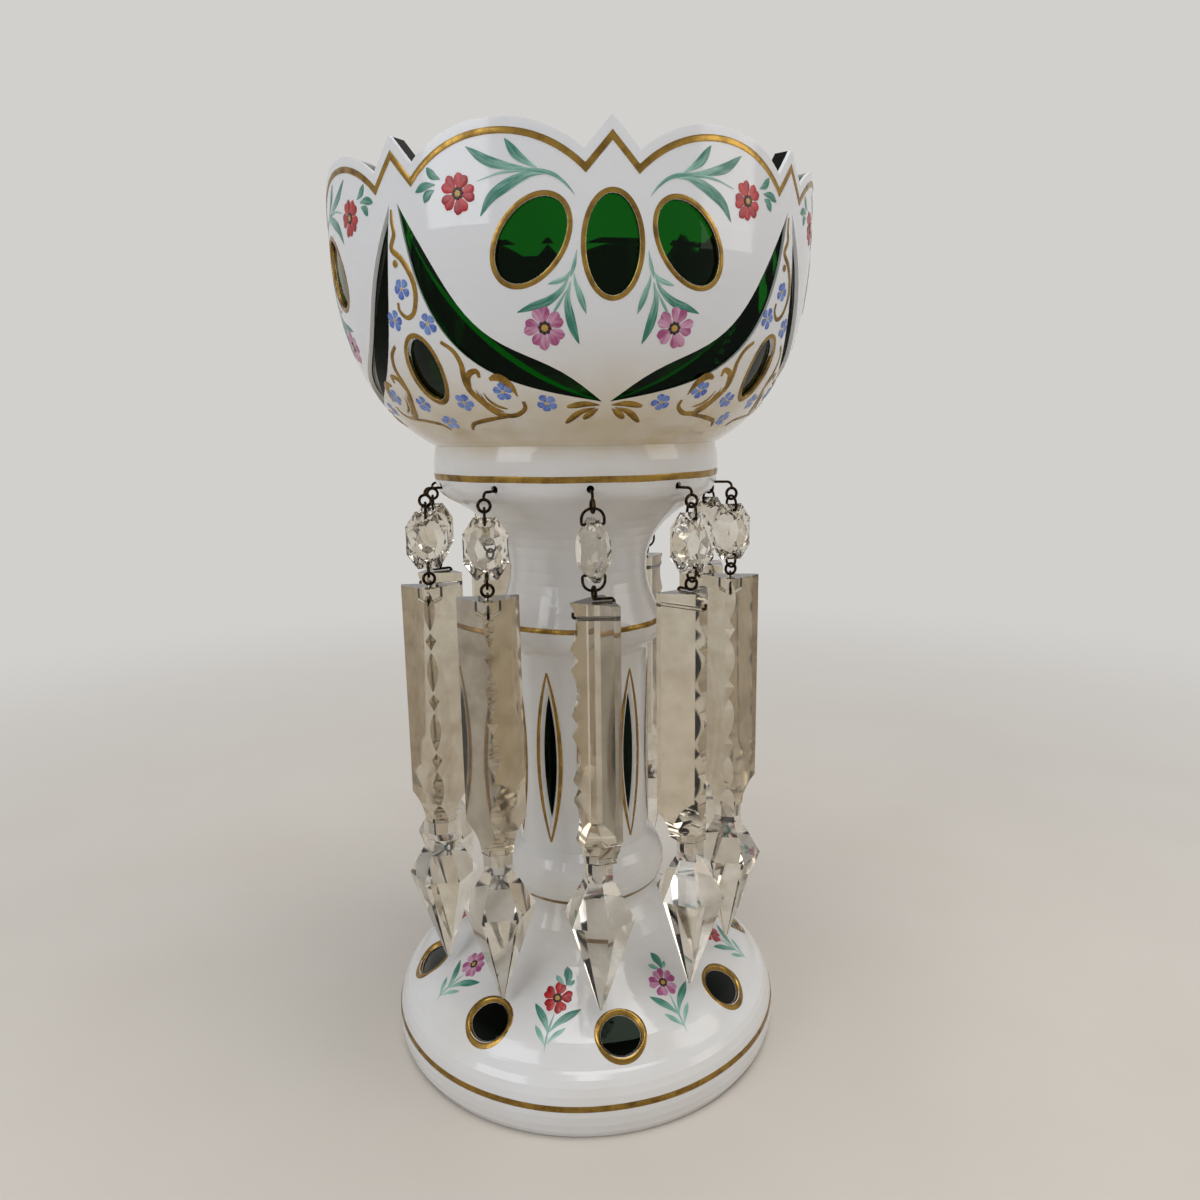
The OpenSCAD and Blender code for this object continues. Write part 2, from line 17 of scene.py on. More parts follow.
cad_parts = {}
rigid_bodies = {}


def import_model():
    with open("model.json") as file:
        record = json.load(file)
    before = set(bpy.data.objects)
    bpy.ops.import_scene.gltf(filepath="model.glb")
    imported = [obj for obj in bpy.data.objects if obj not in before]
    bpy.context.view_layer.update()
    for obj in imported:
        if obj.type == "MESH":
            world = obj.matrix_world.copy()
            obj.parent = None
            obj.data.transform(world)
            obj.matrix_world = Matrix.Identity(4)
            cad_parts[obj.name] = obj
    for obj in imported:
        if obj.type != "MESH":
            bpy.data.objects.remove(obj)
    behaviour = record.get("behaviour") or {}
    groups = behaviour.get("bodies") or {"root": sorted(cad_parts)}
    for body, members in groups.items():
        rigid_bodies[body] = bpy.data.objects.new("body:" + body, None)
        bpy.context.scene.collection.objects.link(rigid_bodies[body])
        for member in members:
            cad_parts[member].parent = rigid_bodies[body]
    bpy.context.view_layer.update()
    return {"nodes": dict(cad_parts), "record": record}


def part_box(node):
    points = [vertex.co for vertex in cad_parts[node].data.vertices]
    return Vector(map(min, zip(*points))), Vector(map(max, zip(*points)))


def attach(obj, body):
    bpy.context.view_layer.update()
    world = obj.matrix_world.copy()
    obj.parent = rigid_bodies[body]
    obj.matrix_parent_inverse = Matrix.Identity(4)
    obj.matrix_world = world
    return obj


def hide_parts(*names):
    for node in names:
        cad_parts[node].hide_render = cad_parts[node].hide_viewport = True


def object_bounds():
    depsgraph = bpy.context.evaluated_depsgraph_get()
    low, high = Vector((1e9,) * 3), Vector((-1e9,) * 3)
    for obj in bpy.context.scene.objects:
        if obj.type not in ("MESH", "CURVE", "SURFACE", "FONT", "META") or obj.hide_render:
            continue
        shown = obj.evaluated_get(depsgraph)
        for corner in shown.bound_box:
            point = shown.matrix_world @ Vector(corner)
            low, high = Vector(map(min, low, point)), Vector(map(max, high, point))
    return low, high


for leftover in list(bpy.data.objects):
    bpy.data.objects.remove(leftover)
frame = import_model()
MM = 0.001

# %% [markdown]
# ## Colours and shader nodes
# Colours are written as they look on a screen, in sRGB hex, and shaders work with linear light, so one
# function turns the first into the second. A second function adds a shader node, gives it its settings
# and fills its inputs, either with a value or with a link from another node.

# %% Helpers for materials
def linear(hex_colour):
    """The linear colour of an sRGB hex value, with full alpha."""
    shares = [int(hex_colour[i:i + 2], 16) / 255 for i in (1, 3, 5)]
    bent = [s / 12.92 if s <= 0.04045 else ((s + 0.055) / 1.055) ** 2.4 for s in shares]
    return (*bent, 1.0)


def add(tree, kind, settings=None, inputs=None):
    """Adds one node. An input is a value, or another node's output to link from."""
    made = tree.nodes.new(kind)
    for name, value in (settings or {}).items():
        setattr(made, name, value)
    for name, value in (inputs or {}).items():
        if isinstance(value, bpy.types.NodeSocket):
            tree.links.new(value, made.inputs[name])
        else:
            made.inputs[name].default_value = value
    return made


def new_material(name):
    """An empty material with its node tree and its surface shader, wired to the output."""
    material = bpy.data.materials.new(name)
    material.use_nodes = True
    tree = material.node_tree
    shader = tree.nodes["Principled BSDF"]
    return material, tree, shader


# Mix nodes that mix colours keep their factor, first and second colour and result at these places.
FACTOR, FIRST, SECOND, MIXED = 0, 6, 7, 2
COLOUR_MIX = {"data_type": "RGBA"}
print("helpers ready")

# %% [markdown]
# ## White casing
# The casing is opal glass: white because of fine crystals in it, a millimetre thick, fire-polished and
# then polished again after cutting. It gives the eye a cool milky white with sharp reflections, a faint
# waviness from the blowing, and a warmer ivory low on the bowl. That ivory is partly toning from age and
# dust and partly painted light: a painted warm reflection and painted shade on the bowl's underside. A mix
# of two whites, driven by height and a slow noise, gives that without a picture.

# %% Opal glass, fire-polished
opal, tree, shader = new_material("opal_white_casing_glass")
where = add(tree, "ShaderNodeTexCoord")
height = add(tree, "ShaderNodeSeparateXYZ", inputs={"Vector": where.outputs["Object"]})
# The ivory, partly age and partly a painted warm reflection and shade, is full at the bowl's seat, 222 mm
# up. It is gone at 258 mm, and under a third on the stem.
warm_fade_up = add(tree, "ShaderNodeMapRange", {"interpolation_type": "SMOOTHSTEP"},
               {"Value": height.outputs["Z"], "From Min": 0.226, "From Max": 0.258,
                "To Min": 1.0, "To Max": 0.0})
warm_fade_down = add(tree, "ShaderNodeMapRange", {"interpolation_type": "SMOOTHSTEP"},
                 {"Value": height.outputs["Z"], "From Min": 0.216, "From Max": 0.224,
                  "To Min": 0.28, "To Max": 1.0})
aged_and_painted_warmth = add(tree, "ShaderNodeMath", {"operation": "MULTIPLY"},
            {0: warm_fade_up.outputs[0], 1: warm_fade_down.outputs[0]})
# Clouds about 30 mm across break the toning up.
clouds = add(tree, "ShaderNodeTexNoise", inputs={
    "Vector": where.outputs["Object"], "Scale": 1 / 0.030, "Detail": 3.0, "Roughness": 0.55})
cloud_share = add(tree, "ShaderNodeMapRange", inputs={
    "Value": clouds.outputs["Fac"], "From Min": 0.3, "From Max": 0.7, "To Min": 0.35, "To Max": 1.0})
aged_and_painted_warmth_share = add(tree, "ShaderNodeMath", {"operation": "MULTIPLY"},
           {0: aged_and_painted_warmth.outputs[0], 1: cloud_share.outputs[0]})
# The second white is the ivory: partly age and dust, partly a painted warm reflection and painted shade.
white = add(tree, "ShaderNodeMix", COLOUR_MIX, {
    FACTOR: aged_and_painted_warmth_share.outputs[0], FIRST: linear("#E8E9EB"), SECOND: linear("#C9B793")})
# Wipe marks of about 4 mm change only the gloss.
wiped = add(tree, "ShaderNodeTexNoise", inputs={
    "Vector": where.outputs["Object"], "Scale": 1 / 0.004, "Detail": 4.0})
gloss = add(tree, "ShaderNodeMapRange", inputs={
    "Value": wiped.outputs["Fac"], "From Min": 0.35, "From Max": 0.75, "To Min": 0.06, "To Max": 0.16})
# Waves of about 14 mm are left from the blowing, a few hundredths of a millimetre high.
waves = add(tree, "ShaderNodeTexNoise", inputs={
    "Vector": where.outputs["Object"], "Scale": 1 / 0.014, "Detail": 1.0})
ripple = add(tree, "ShaderNodeBump", inputs={
    "Strength": 0.35, "Distance": 0.00008, "Height": waves.outputs["Fac"]})
tree.links.new(white.outputs[MIXED], shader.inputs["Base Color"])
tree.links.new(gloss.outputs[0], shader.inputs["Roughness"])
tree.links.new(ripple.outputs["Normal"], shader.inputs["Normal"])
shader.inputs["IOR"].default_value = 1.5
shader.inputs["Subsurface Weight"].default_value = 0.12
shader.inputs["Subsurface Radius"].default_value = (1.0, 0.9, 0.75)
shader.inputs["Subsurface Scale"].default_value = 0.0015
print("made", opal.name)

# %% [markdown]
# ## Green glass
# Under the casing lies soda glass coloured with iron and copper. It is clear but deep: light that crosses
# the bowl's wall once is a strong bottle green, and of light that crosses it twice little is left. The stem
# and the foot are the same melt, but no light gets in behind it there, so their windows look black. A full
# transmission with a green tint gives the glass in the renderer, and the stem and the foot get a much darker
# copy of the same glass, a painted shade for the glass that nothing lights. The mirror image of a pale room
# would hide so deep a colour, so a dark specular tint holds it back.

# %% Bottle green glass, cut and polished
def bottle_glass(name, weak, rich):
    """Clear green glass between two depths of colour, with faint upright cords from the blowing."""
    material, tree, shader = new_material(name)
    where = add(tree, "ShaderNodeTexCoord")
    # Cords are about 18 mm apart and drawn out upright.
    stretch = add(tree, "ShaderNodeMapping", inputs={
        "Vector": where.outputs["Object"], "Scale": (1.0, 1.0, 0.25)})
    cords = add(tree, "ShaderNodeTexNoise", inputs={
        "Vector": stretch.outputs[0], "Scale": 1 / 0.018, "Detail": 0.0})
    tint = add(tree, "ShaderNodeMix", COLOUR_MIX, {
        FACTOR: cords.outputs["Fac"], FIRST: linear(weak), SECOND: linear(rich)})
    smear = add(tree, "ShaderNodeTexNoise", inputs={
        "Vector": where.outputs["Object"], "Scale": 1 / 0.005, "Detail": 3.0})
    gloss = add(tree, "ShaderNodeMapRange", inputs={
        "Value": smear.outputs["Fac"], "From Min": 0.35, "From Max": 0.75, "To Min": 0.01, "To Max": 0.05})
    ripple = add(tree, "ShaderNodeBump", inputs={
        "Strength": 0.12, "Distance": 0.00005, "Height": cords.outputs["Fac"]})
    tree.links.new(tint.outputs[MIXED], shader.inputs["Base Color"])
    tree.links.new(gloss.outputs[0], shader.inputs["Roughness"])
    tree.links.new(ripple.outputs["Normal"], shader.inputs["Normal"])
    shader.inputs["IOR"].default_value = 1.52
    shader.inputs["Specular Tint"].default_value = linear("#6C7C6C")
    shader.inputs["Transmission Weight"].default_value = 1.0
    return material


green = bottle_glass("bottle_green_glass", "#0A6414", "#07540E")
# The same glass much darker: painted shade for the stem and the foot, which nothing lights from behind.
painted_shade_green = bottle_glass("bottle_green_glass_unlit", "#03220A", "#021606")
print("made", green.name, "and", painted_shade_green.name)

# %% [markdown]
# ## Lead crystal
# Beads and prisms are lead crystal, pressed and then cut on a wheel and polished. Its high index bends
# what lies behind it into bright and dark bands at every facet. A century of dust leaves a grey-brown film,
# thin and patchy on the polished ends and thicker on the bars, which were only smoothed. The bars' darker
# grey-brown is partly that dust and partly a painted reflection of dark surroundings. So a noise lets the
# polish go dull in places, and height tells bars from ends for the colour and the haze of the film.

# %% Lead crystal, wheel-cut
crystal, tree, shader = new_material("lead_crystal")
where = add(tree, "ShaderNodeTexCoord")
# The film lies in patches of about 9 mm.
film = add(tree, "ShaderNodeTexNoise", inputs={
    "Vector": where.outputs["Object"], "Scale": 1 / 0.009, "Detail": 4.0, "Roughness": 0.6})
film_share = add(tree, "ShaderNodeMapRange", inputs={
    "Value": film.outputs["Fac"], "From Min": 0.45, "From Max": 0.72})
clear = add(tree, "ShaderNodeMix", COLOUR_MIX, {
    FACTOR: film_share.outputs[0], FIRST: linear("#EFEAE0"), SECOND: linear("#D6CCB9")})
# The bars stand between 90 and 175 mm up, over the polished ends and under the beads.
height = add(tree, "ShaderNodeSeparateXYZ", inputs={"Vector": where.outputs["Object"]})
over_spear = add(tree, "ShaderNodeMapRange", {"interpolation_type": "SMOOTHSTEP"},
                 {"Value": height.outputs["Z"], "From Min": 0.082, "From Max": 0.094})
under_bead = add(tree, "ShaderNodeMapRange", {"interpolation_type": "SMOOTHSTEP"},
                 {"Value": height.outputs["Z"], "From Min": 0.176, "From Max": 0.179,
                  "To Min": 1.0, "To Max": 0.0})
on_bar = add(tree, "ShaderNodeMath", {"operation": "MULTIPLY"},
             {0: over_spear.outputs[0], 1: under_bead.outputs[0]})
# On the bars a darker grey-brown, partly dust and partly a painted reflection of dark surroundings.
bar_dust_and_painted_reflection = add(tree, "ShaderNodeMix", COLOUR_MIX, {
    FACTOR: film_share.outputs[0], FIRST: linear("#D6CCB9"), SECOND: linear("#B4A78F")})
body = add(tree, "ShaderNodeMix", COLOUR_MIX, {
    FACTOR: on_bar.outputs[0], FIRST: clear.outputs[MIXED], SECOND: bar_dust_and_painted_reflection.outputs[MIXED]})
dulled = add(tree, "ShaderNodeMapRange", inputs={
    "Value": film_share.outputs[0], "To Min": 0.03, "To Max": 0.12})
gloss = add(tree, "ShaderNodeMath", {"operation": "MULTIPLY_ADD"},
            {0: on_bar.outputs[0], 1: 0.015, 2: dulled.outputs[0]})
# Wheel marks, 0.7 mm apart so that they show at all, run across the cut faces.
wheel = add(tree, "ShaderNodeTexNoise", inputs={
    "Vector": where.outputs["Object"], "Scale": 1 / 0.0007, "Detail": 1.0})
marks = add(tree, "ShaderNodeBump", inputs={
    "Strength": 0.05, "Distance": 0.00002, "Height": wheel.outputs["Fac"]})
tree.links.new(body.outputs[MIXED], shader.inputs["Base Color"])
tree.links.new(gloss.outputs[0], shader.inputs["Roughness"])
tree.links.new(marks.outputs["Normal"], shader.inputs["Normal"])
shader.inputs["IOR"].default_value = 1.56
shader.inputs["Transmission Weight"].default_value = 1.0
print("made", crystal.name)

# %% [markdown]
# ## Wire
# The hooks, bows and links are bent from drawn brass wire that has gone almost black with age, with a
# little of the metal showing where links rub. A rough dark metal with paler patches gives that.

# %% Tarnished brass wire, drawn
wire, tree, shader = new_material("tarnished_brass_wire")
where = add(tree, "ShaderNodeTexCoord")
# Tarnish breaks up at about 1.2 mm.
tarnish = add(tree, "ShaderNodeTexNoise", inputs={
    "Vector": where.outputs["Object"], "Scale": 1 / 0.0012, "Detail": 3.0})
bare = add(tree, "ShaderNodeMapRange", inputs={
    "Value": tarnish.outputs["Fac"], "From Min": 0.5, "From Max": 0.75})
metal = add(tree, "ShaderNodeMix", COLOUR_MIX, {
    FACTOR: bare.outputs[0], FIRST: linear("#241C16"), SECOND: linear("#6E5334")})
gloss = add(tree, "ShaderNodeMapRange", inputs={
    "Value": bare.outputs[0], "To Min": 0.6, "To Max": 0.38})
pits = add(tree, "ShaderNodeBump", inputs={
    "Strength": 0.3, "Distance": 0.00004, "Height": tarnish.outputs["Fac"]})
tree.links.new(metal.outputs[MIXED], shader.inputs["Base Color"])
tree.links.new(gloss.outputs[0], shader.inputs["Roughness"])
tree.links.new(pits.outputs["Normal"], shader.inputs["Normal"])
shader.inputs["Metallic"].default_value = 1.0
print("made", wire.name)

# %% [markdown]
# ## Dressing the solids
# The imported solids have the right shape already, so each keeps its mesh and only gets its finish.

# %% Finishes on the solids
finish_of_slot = {"white_glass": opal, "green_glass": green, "crystal": crystal, "bronzed_wire": wire}
for part in frame["record"]["subparts"]:
    solid = frame["nodes"][part["node"]]
    solid.data.materials.clear()
    solid.data.materials.append(finish_of_slot[part["material_slot"]])
# The stem and the foot take the darker copy of the green glass, a painted shade.
for unlit in ("stem_green_glass", "foot_green_glass"):
    frame["nodes"][unlit].data.materials[0] = painted_shade_green

# %% [markdown]
# ## A hair of air in the bowl
# The bowl's two layers touch all over. Each is a fine mesh of flat faces, so where they touch, now one and
# now the other lies in front, and from above the inside of the bowl would be striped. A copy of the green
# layer, drawn in and up by less than a sixth of a millimetre, keeps clear of the casing and takes its place.

# %% The bowl's green layer
AIR = 0.15 * MM
UPRIGHT_Z, RISE_FADE = 290 * MM, 40 * MM
solid = frame["nodes"]["bowl_green_glass"]
layer = bpy.data.objects.new("bowl_green_layer", solid.data.copy())
bpy.context.scene.collection.objects.link(layer)
for point in layer.data.vertices:
    point.co.xy *= 1 - AIR / point.co.xy.length
    # From there up the wall stands upright, so nothing has to rise.
    point.co.z += AIR * min(1.0, max(0.0, (UPRIGHT_Z - point.co.z) / RISE_FADE))
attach(layer, "glass_body")
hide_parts("bowl_green_glass")
print("drew in", len(layer.data.vertices), "points of the green layer")

# %% [markdown]
# ## The painter's gold and colours
# Gilding on glass is liquid gold, brushed on and fired: a thin metal skin with brush marks, worn thin on
# the high places so that a brown shade shows. The flowers are fired enamels, glassy colours laid on with
# single strokes, so each petal and leaf is streaked along its stroke and thins towards one end. Every
# stroke carries its own map: the first number runs along the stroke and the second across it, both in
# millimetres, and the materials draw their streaks on that.

# %% Fired gold, brushed on
gold, tree, shader = new_material("fired_brush_gold")
where = add(tree, "ShaderNodeTexCoord")
# Wear comes in patches of about 5 mm.
wear = add(tree, "ShaderNodeTexNoise", inputs={
    "Vector": where.outputs["Object"], "Scale": 1 / 0.005, "Detail": 5.0, "Roughness": 0.6})
worn = add(tree, "ShaderNodeMapRange", inputs={
    "Value": wear.outputs["Fac"], "From Min": 0.42, "From Max": 0.68})
metal = add(tree, "ShaderNodeMix", COLOUR_MIX, {
    FACTOR: worn.outputs[0], FIRST: linear("#9E7E3F"), SECOND: linear("#6E552B")})
# Brush hairs leave lines 0.25 mm apart along the stroke.
hairs = add(tree, "ShaderNodeMapping", inputs={
    "Vector": where.outputs["UV"], "Scale": (0.25, 4.0, 1.0)})
lines = add(tree, "ShaderNodeTexNoise", inputs={
    "Vector": hairs.outputs[0], "Scale": 1.0, "Detail": 2.0})
gloss = add(tree, "ShaderNodeMapRange", inputs={
    "Value": worn.outputs[0], "To Min": 0.22, "To Max": 0.45})
brushed = add(tree, "ShaderNodeBump", inputs={
    "Strength": 0.4, "Distance": 0.00005, "Height": lines.outputs["Fac"]})
tree.links.new(metal.outputs[MIXED], shader.inputs["Base Color"])
tree.links.new(gloss.outputs[0], shader.inputs["Roughness"])
tree.links.new(brushed.outputs["Normal"], shader.inputs["Normal"])
shader.inputs["Metallic"].default_value = 1.0
print("made", gold.name)

# %% Fired enamels, one per colour
def fired_enamel(name, full, thin, hair_mm):
    """A glassy paint, full where the brush was loaded, thin where it ran dry, streaked along the stroke."""
    material, tree, shader = new_material(name)
    where = add(tree, "ShaderNodeTexCoord")
    hairs = add(tree, "ShaderNodeMapping", inputs={
        "Vector": where.outputs["UV"], "Scale": (0.12 / hair_mm, 1 / hair_mm, 1.0)})
    streaks = add(tree, "ShaderNodeTexNoise", inputs={
        "Vector": hairs.outputs[0], "Scale": 1.0, "Detail": 3.0})
    uneven = add(tree, "ShaderNodeMapRange", inputs={
        "Value": streaks.outputs["Fac"], "From Min": 0.3, "From Max": 0.7, "To Min": -0.35, "To Max": 0.35})
    brush = add(tree, "ShaderNodeAttribute", {"attribute_name": "paint_load"})
    load = add(tree, "ShaderNodeMath", {"operation": "ADD", "use_clamp": True},
               {0: brush.outputs["Fac"], 1: uneven.outputs[0]})
    paint = add(tree, "ShaderNodeMix", COLOUR_MIX, {
        FACTOR: load.outputs[0], FIRST: linear(thin), SECOND: linear(full)})
    gloss = add(tree, "ShaderNodeMapRange", inputs={
        "Value": streaks.outputs["Fac"], "To Min": 0.18, "To Max": 0.4})
    ridges = add(tree, "ShaderNodeBump", inputs={
        "Strength": 0.35, "Distance": 0.00004, "Height": streaks.outputs["Fac"]})
    tree.links.new(paint.outputs[MIXED], shader.inputs["Base Color"])
    tree.links.new(gloss.outputs[0], shader.inputs["Roughness"])
    tree.links.new(ridges.outputs["Normal"], shader.inputs["Normal"])
    shader.inputs["IOR"].default_value = 1.5
    return material


red = fired_enamel("iron_red_enamel", "#9A0410", "#CC2629", 0.7)
mauve = fired_enamel("mauve_enamel", "#A4487C", "#E0B2CA", 0.8)
blue = fired_enamel("forget_me_not_blue_enamel", "#3A5AB2", "#8CAADF", 0.6)
leaf_green = fired_enamel("sea_green_enamel", "#2A7865", "#A6D2C2", 0.6)
yellow = fired_enamel("naples_yellow_enamel", "#A97A26", "#D8B45C", 0.4)
brown = fired_enamel("dark_brown_enamel", "#24120D", "#4A2C20", 0.4)
print("made gold and six enamels")

# %% [markdown]
# ## Measuring the glass
# A stroke has to lie on the glass wherever it goes. The casing is round, so one outline, radius against
# height, gives its whole surface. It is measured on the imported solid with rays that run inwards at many
# turns, and the greatest radius counts, because a ray can pass through a window. From then on, a place is
# a turn in degrees from the front and a distance along the outline from its lower end, both easy to paint.

# %% The outline of a casing
class GlassWall:
    """The outer surface of a round casing, as distance along its outline, radius and height in mm."""

    def __init__(self, node, step=0.25):
        mesh = frame["nodes"][node].data
        skin = BVHTree.FromPolygons([v.co for v in mesh.vertices], [p.vertices for p in mesh.polygons])
        self.skin = skin
        low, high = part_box(node)
        heights = np.arange(low.z / MM + 0.1, high.z / MM - 0.05, step)
        found = []
        for z in heights:
            reach = 0.0
            for turn in np.radians(np.arange(3.0, 363.0, 9.0)):
                out = Vector((math.sin(turn), -math.cos(turn), 0.0))
                hit = skin.ray_cast(out * 0.2 + Vector((0, 0, z * MM)), -out)[0]
                if hit is not None:
                    reach = max(reach, math.hypot(hit.x, hit.y))
            found.append(reach / MM)
        self.radius = np.array(found)
        self.height = heights
        steps = np.hypot(np.diff(self.radius), np.diff(self.height))
        self.along = np.concatenate([[0.0], np.cumsum(steps)])
        rise = np.gradient(self.height, self.along)
        run = np.gradient(self.radius, self.along)
        spread = np.ones(9) / 9
        self.out = np.convolve(np.pad(rise, 4, mode="edge"), spread, mode="valid")
        self.up = np.convolve(np.pad(-run, 4, mode="edge"), spread, mode="valid")

    def along_at(self, z):
        """Distance along the outline at a height."""
        return np.interp(z, self.height, self.along)

    def radius_at(self, along):
        """Radius at a distance along the outline."""
        return np.interp(along, self.along, self.radius)

    def height_at(self, along):
        """Height at a distance along the outline."""
        return np.interp(along, self.along, self.height)

    def place(self, turn, along, lift):
        """Points in metres at turns in degrees and distances along the outline, lifted off the glass."""
        out = np.interp(along, self.along, self.out)
        up = np.interp(along, self.along, self.up)
        size = np.hypot(out, up)
        r = self.radius_at(along) + lift * out / size
        z = self.height_at(along) + lift * up / size
        a = np.radians(turn)
        return np.stack([r * np.sin(a), -r * np.cos(a), z], axis=-1) * MM

    def settle(self, turn, along, lift):
        """Like place, but down on the solid itself where a cut slopes in, found by rays from outside."""
        start = self.place(turn, along, lift + 5.0)
        inwards = self.place(turn, along, lift + 4.0) - start
        found = self.place(turn, along, lift)
        for spot in np.ndindex(found.shape[:2]):
            hit = self.skin.ray_cast(Vector(start[spot]), Vector(inwards[spot]), 0.008)[0]
            if hit is not None:
                found[spot] = np.array(hit) - inwards[spot] * lift[spot]
        return found

    def first_white(self, turn, along, angle):
        """Distance from a round window's middle at which a ray from outside first meets the casing."""
        for reach in np.arange(5.0, 9.0, 0.04):
            up = along + reach * math.sin(angle)
            spot = turn + math.degrees(reach * math.cos(angle) / self.radius_at(up))
            start = self.place(spot, up, 5.0)
            inwards = self.place(spot, up, 4.0) - start
            if self.skin.ray_cast(Vector(start), Vector(inwards), 0.008)[0] is not None:
                break
        return reach


bowl_wall = GlassWall("bowl_white_casing")
stem_wall = GlassWall("stem_white_casing")
foot_wall = GlassWall("foot_white_casing")
for name, wall in (("bowl", bowl_wall), ("stem", stem_wall), ("foot", foot_wall)):
    print(name, "outline", round(wall.along[-1], 1), "mm, radius", round(wall.radius.min(), 1),
          "to", round(wall.radius.max(), 1), "mm")

# %% [markdown]
# ## A coat of paint
# All the strokes of one colour are one piece. A coat collects patches, each a grid of points with its map
# in millimetres, and turns them into one mesh that rides on the glass.

# %% Coats
class Coat:
    """Everything that is painted in one colour on one part of the glass."""

    def __init__(self, name, material):
        self.name = name
        self.material = material
        self.points = []
        self.faces = []
        self.marks = []
        self.loads = []

    def patch(self, points, marks, closed=False, load=1.0):
        """Adds a grid of points, rows along the stroke, with its map places and the brush's load."""
        rows, across = points.shape[:2]
        first = len(self.points)
        self.points.extend(points.reshape(-1, 3).tolist())
        self.marks.extend(marks.reshape(-1, 2).tolist())
        self.loads.extend(np.broadcast_to(load, (rows, across)).ravel().tolist())
        for i in range(rows if closed else rows - 1):
            j = (i + 1) % rows
            for k in range(across - 1):
                self.faces.append((first + i * across + k, first + j * across + k,
                                   first + j * across + k + 1, first + i * across + k + 1))

    def lay(self):
        """Makes the mesh, smooth and mapped, and lets it ride on the glass."""
        mesh = bpy.data.meshes.new(self.name)
        mesh.from_pydata(self.points, [], self.faces)
        mesh.polygons.foreach_set("use_smooth", [True] * len(mesh.polygons))
        chart = mesh.uv_layers.new(name="stroke_mm")
        corners = np.zeros(len(mesh.loops), dtype=np.int32)
        mesh.loops.foreach_get("vertex_index", corners)
        chart.data.foreach_set("uv", np.array(self.marks, dtype=np.float32)[corners].ravel())
        loaded = mesh.attributes.new("paint_load", "FLOAT", "POINT")
        loaded.data.foreach_set("value", np.array(self.loads, dtype=np.float32))
        mesh.materials.append(self.material)
        piece = bpy.data.objects.new(self.name, mesh)
        bpy.context.scene.collection.objects.link(piece)
        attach(piece, "glass_body")
        print("laid", self.name, "with", len(self.faces), "faces")
        return piece


# %% [markdown]
# ## A brush stroke
# A stroke follows a few given points. A smooth curve through them gives its path, and at each step
# the brush has a width: thin where it lands, full in the middle, thin where it lifts. The cross-section is
# a low crown, lowest at its edges, which is how fired paint sits on glass.

# %% Smooth paths and strokes
CROWN = np.array([-1.0, -0.62, 0.0, 0.62, 1.0])


def smooth_path(points, steps=8, closed=False):
    """A curve through the points, with some steps between each pair."""
    p = np.array(points, dtype=float)
    if closed:
        p = np.vstack([p[-1], p, p[:2]])
    else:
        p = np.vstack([2 * p[0] - p[1], p, 2 * p[-1] - p[-2]])
    found = []
    for i in range(1, len(p) - 2):
        for t in np.linspace(0, 1, steps, endpoint=False):
            a = 2 * p[i]
            b = p[i + 1] - p[i - 1]
            c = 2 * p[i - 1] - 5 * p[i] + 4 * p[i + 1] - p[i + 2]
            d = 3 * p[i] - p[i - 1] - 3 * p[i + 1] + p[i + 2]
            found.append(0.5 * (a + b * t + c * t * t + d * t ** 3))
    if not closed:
        found.append(p[-2])
    return np.array(found)


def stroke(coat, wall, path, widths, crown=0.12, edge=0.04, closed=False, loads=(1.0,)):
    """Paints along a path of turns and distances, with its width in mm and its load at even steps."""
    path = np.array(path, dtype=float)
    r = wall.radius_at(path[:, 1])
    per_degree = r * math.pi / 180
    if closed:
        step = np.roll(path, -1, axis=0) - np.roll(path, 1, axis=0)
        step[:, 0] = (step[:, 0] + 180) % 360 - 180
    else:
        step = np.gradient(path, axis=0)
    ahead = np.stack([step[:, 0] * per_degree, step[:, 1]], axis=-1)
    ahead /= np.maximum(np.linalg.norm(ahead, axis=1), 1e-9)[:, None]
    side = np.stack([-ahead[:, 1], ahead[:, 0]], axis=-1)
    hops = np.diff(path, axis=0) * np.stack([per_degree[1:], np.ones(len(path) - 1)], axis=-1)
    gone = np.concatenate([[0.0], np.cumsum(np.linalg.norm(hops, axis=1))])
    share = gone / gone[-1]
    width = np.interp(share, np.linspace(0, 1, len(widths)), widths)
    across = CROWN[None, :] * width[:, None] / 2
    turn = path[:, :1] + side[:, :1] * across / per_degree[:, None]
    along = path[:, 1:] + side[:, 1:] * across
    lift = edge + crown * (1 - CROWN ** 2)[None, :] * np.minimum(1, width / max(widths))[:, None]
    marks = np.stack([np.broadcast_to(gone[:, None], across.shape), across + path[0].sum()], axis=-1)
    load = np.interp(share, np.linspace(0, 1, len(loads)), loads)
    coat.patch(wall.place(turn, along, lift), marks, closed, load[:, None])


print("brush ready")

# %% [markdown]
# ## Gilt lines round the glass
# Four gilt lines run right round: under the bowl on the collar, on the shoulder above the column, where
# the stem meets the foot, and along the foot's lip. They were drawn on a turntable, so they are even, but
# the brush breathes a little, which a slow wave in the width and height stands for.

# %% Turned lines
gilding_bowl = Coat("gilding_on_bowl", gold)
gilding_stem = Coat("gilding_on_stem", gold)
gilding_foot = Coat("gilding_on_foot", gold)


def turned_line(coat, wall, z, width):
    """A gilt line right round the glass at one height."""
    turns = np.arange(0, 360, 1.5)
    sway = 0.12 * np.sin(np.radians(turns * 3 + z)) + 0.06 * np.sin(np.radians(turns * 11))
    path = np.stack([turns, wall.along_at(z) + sway], axis=-1)
    stroke(coat, wall, path, [width, width * 1.15, width * 0.9, width * 1.1, width], closed=True)


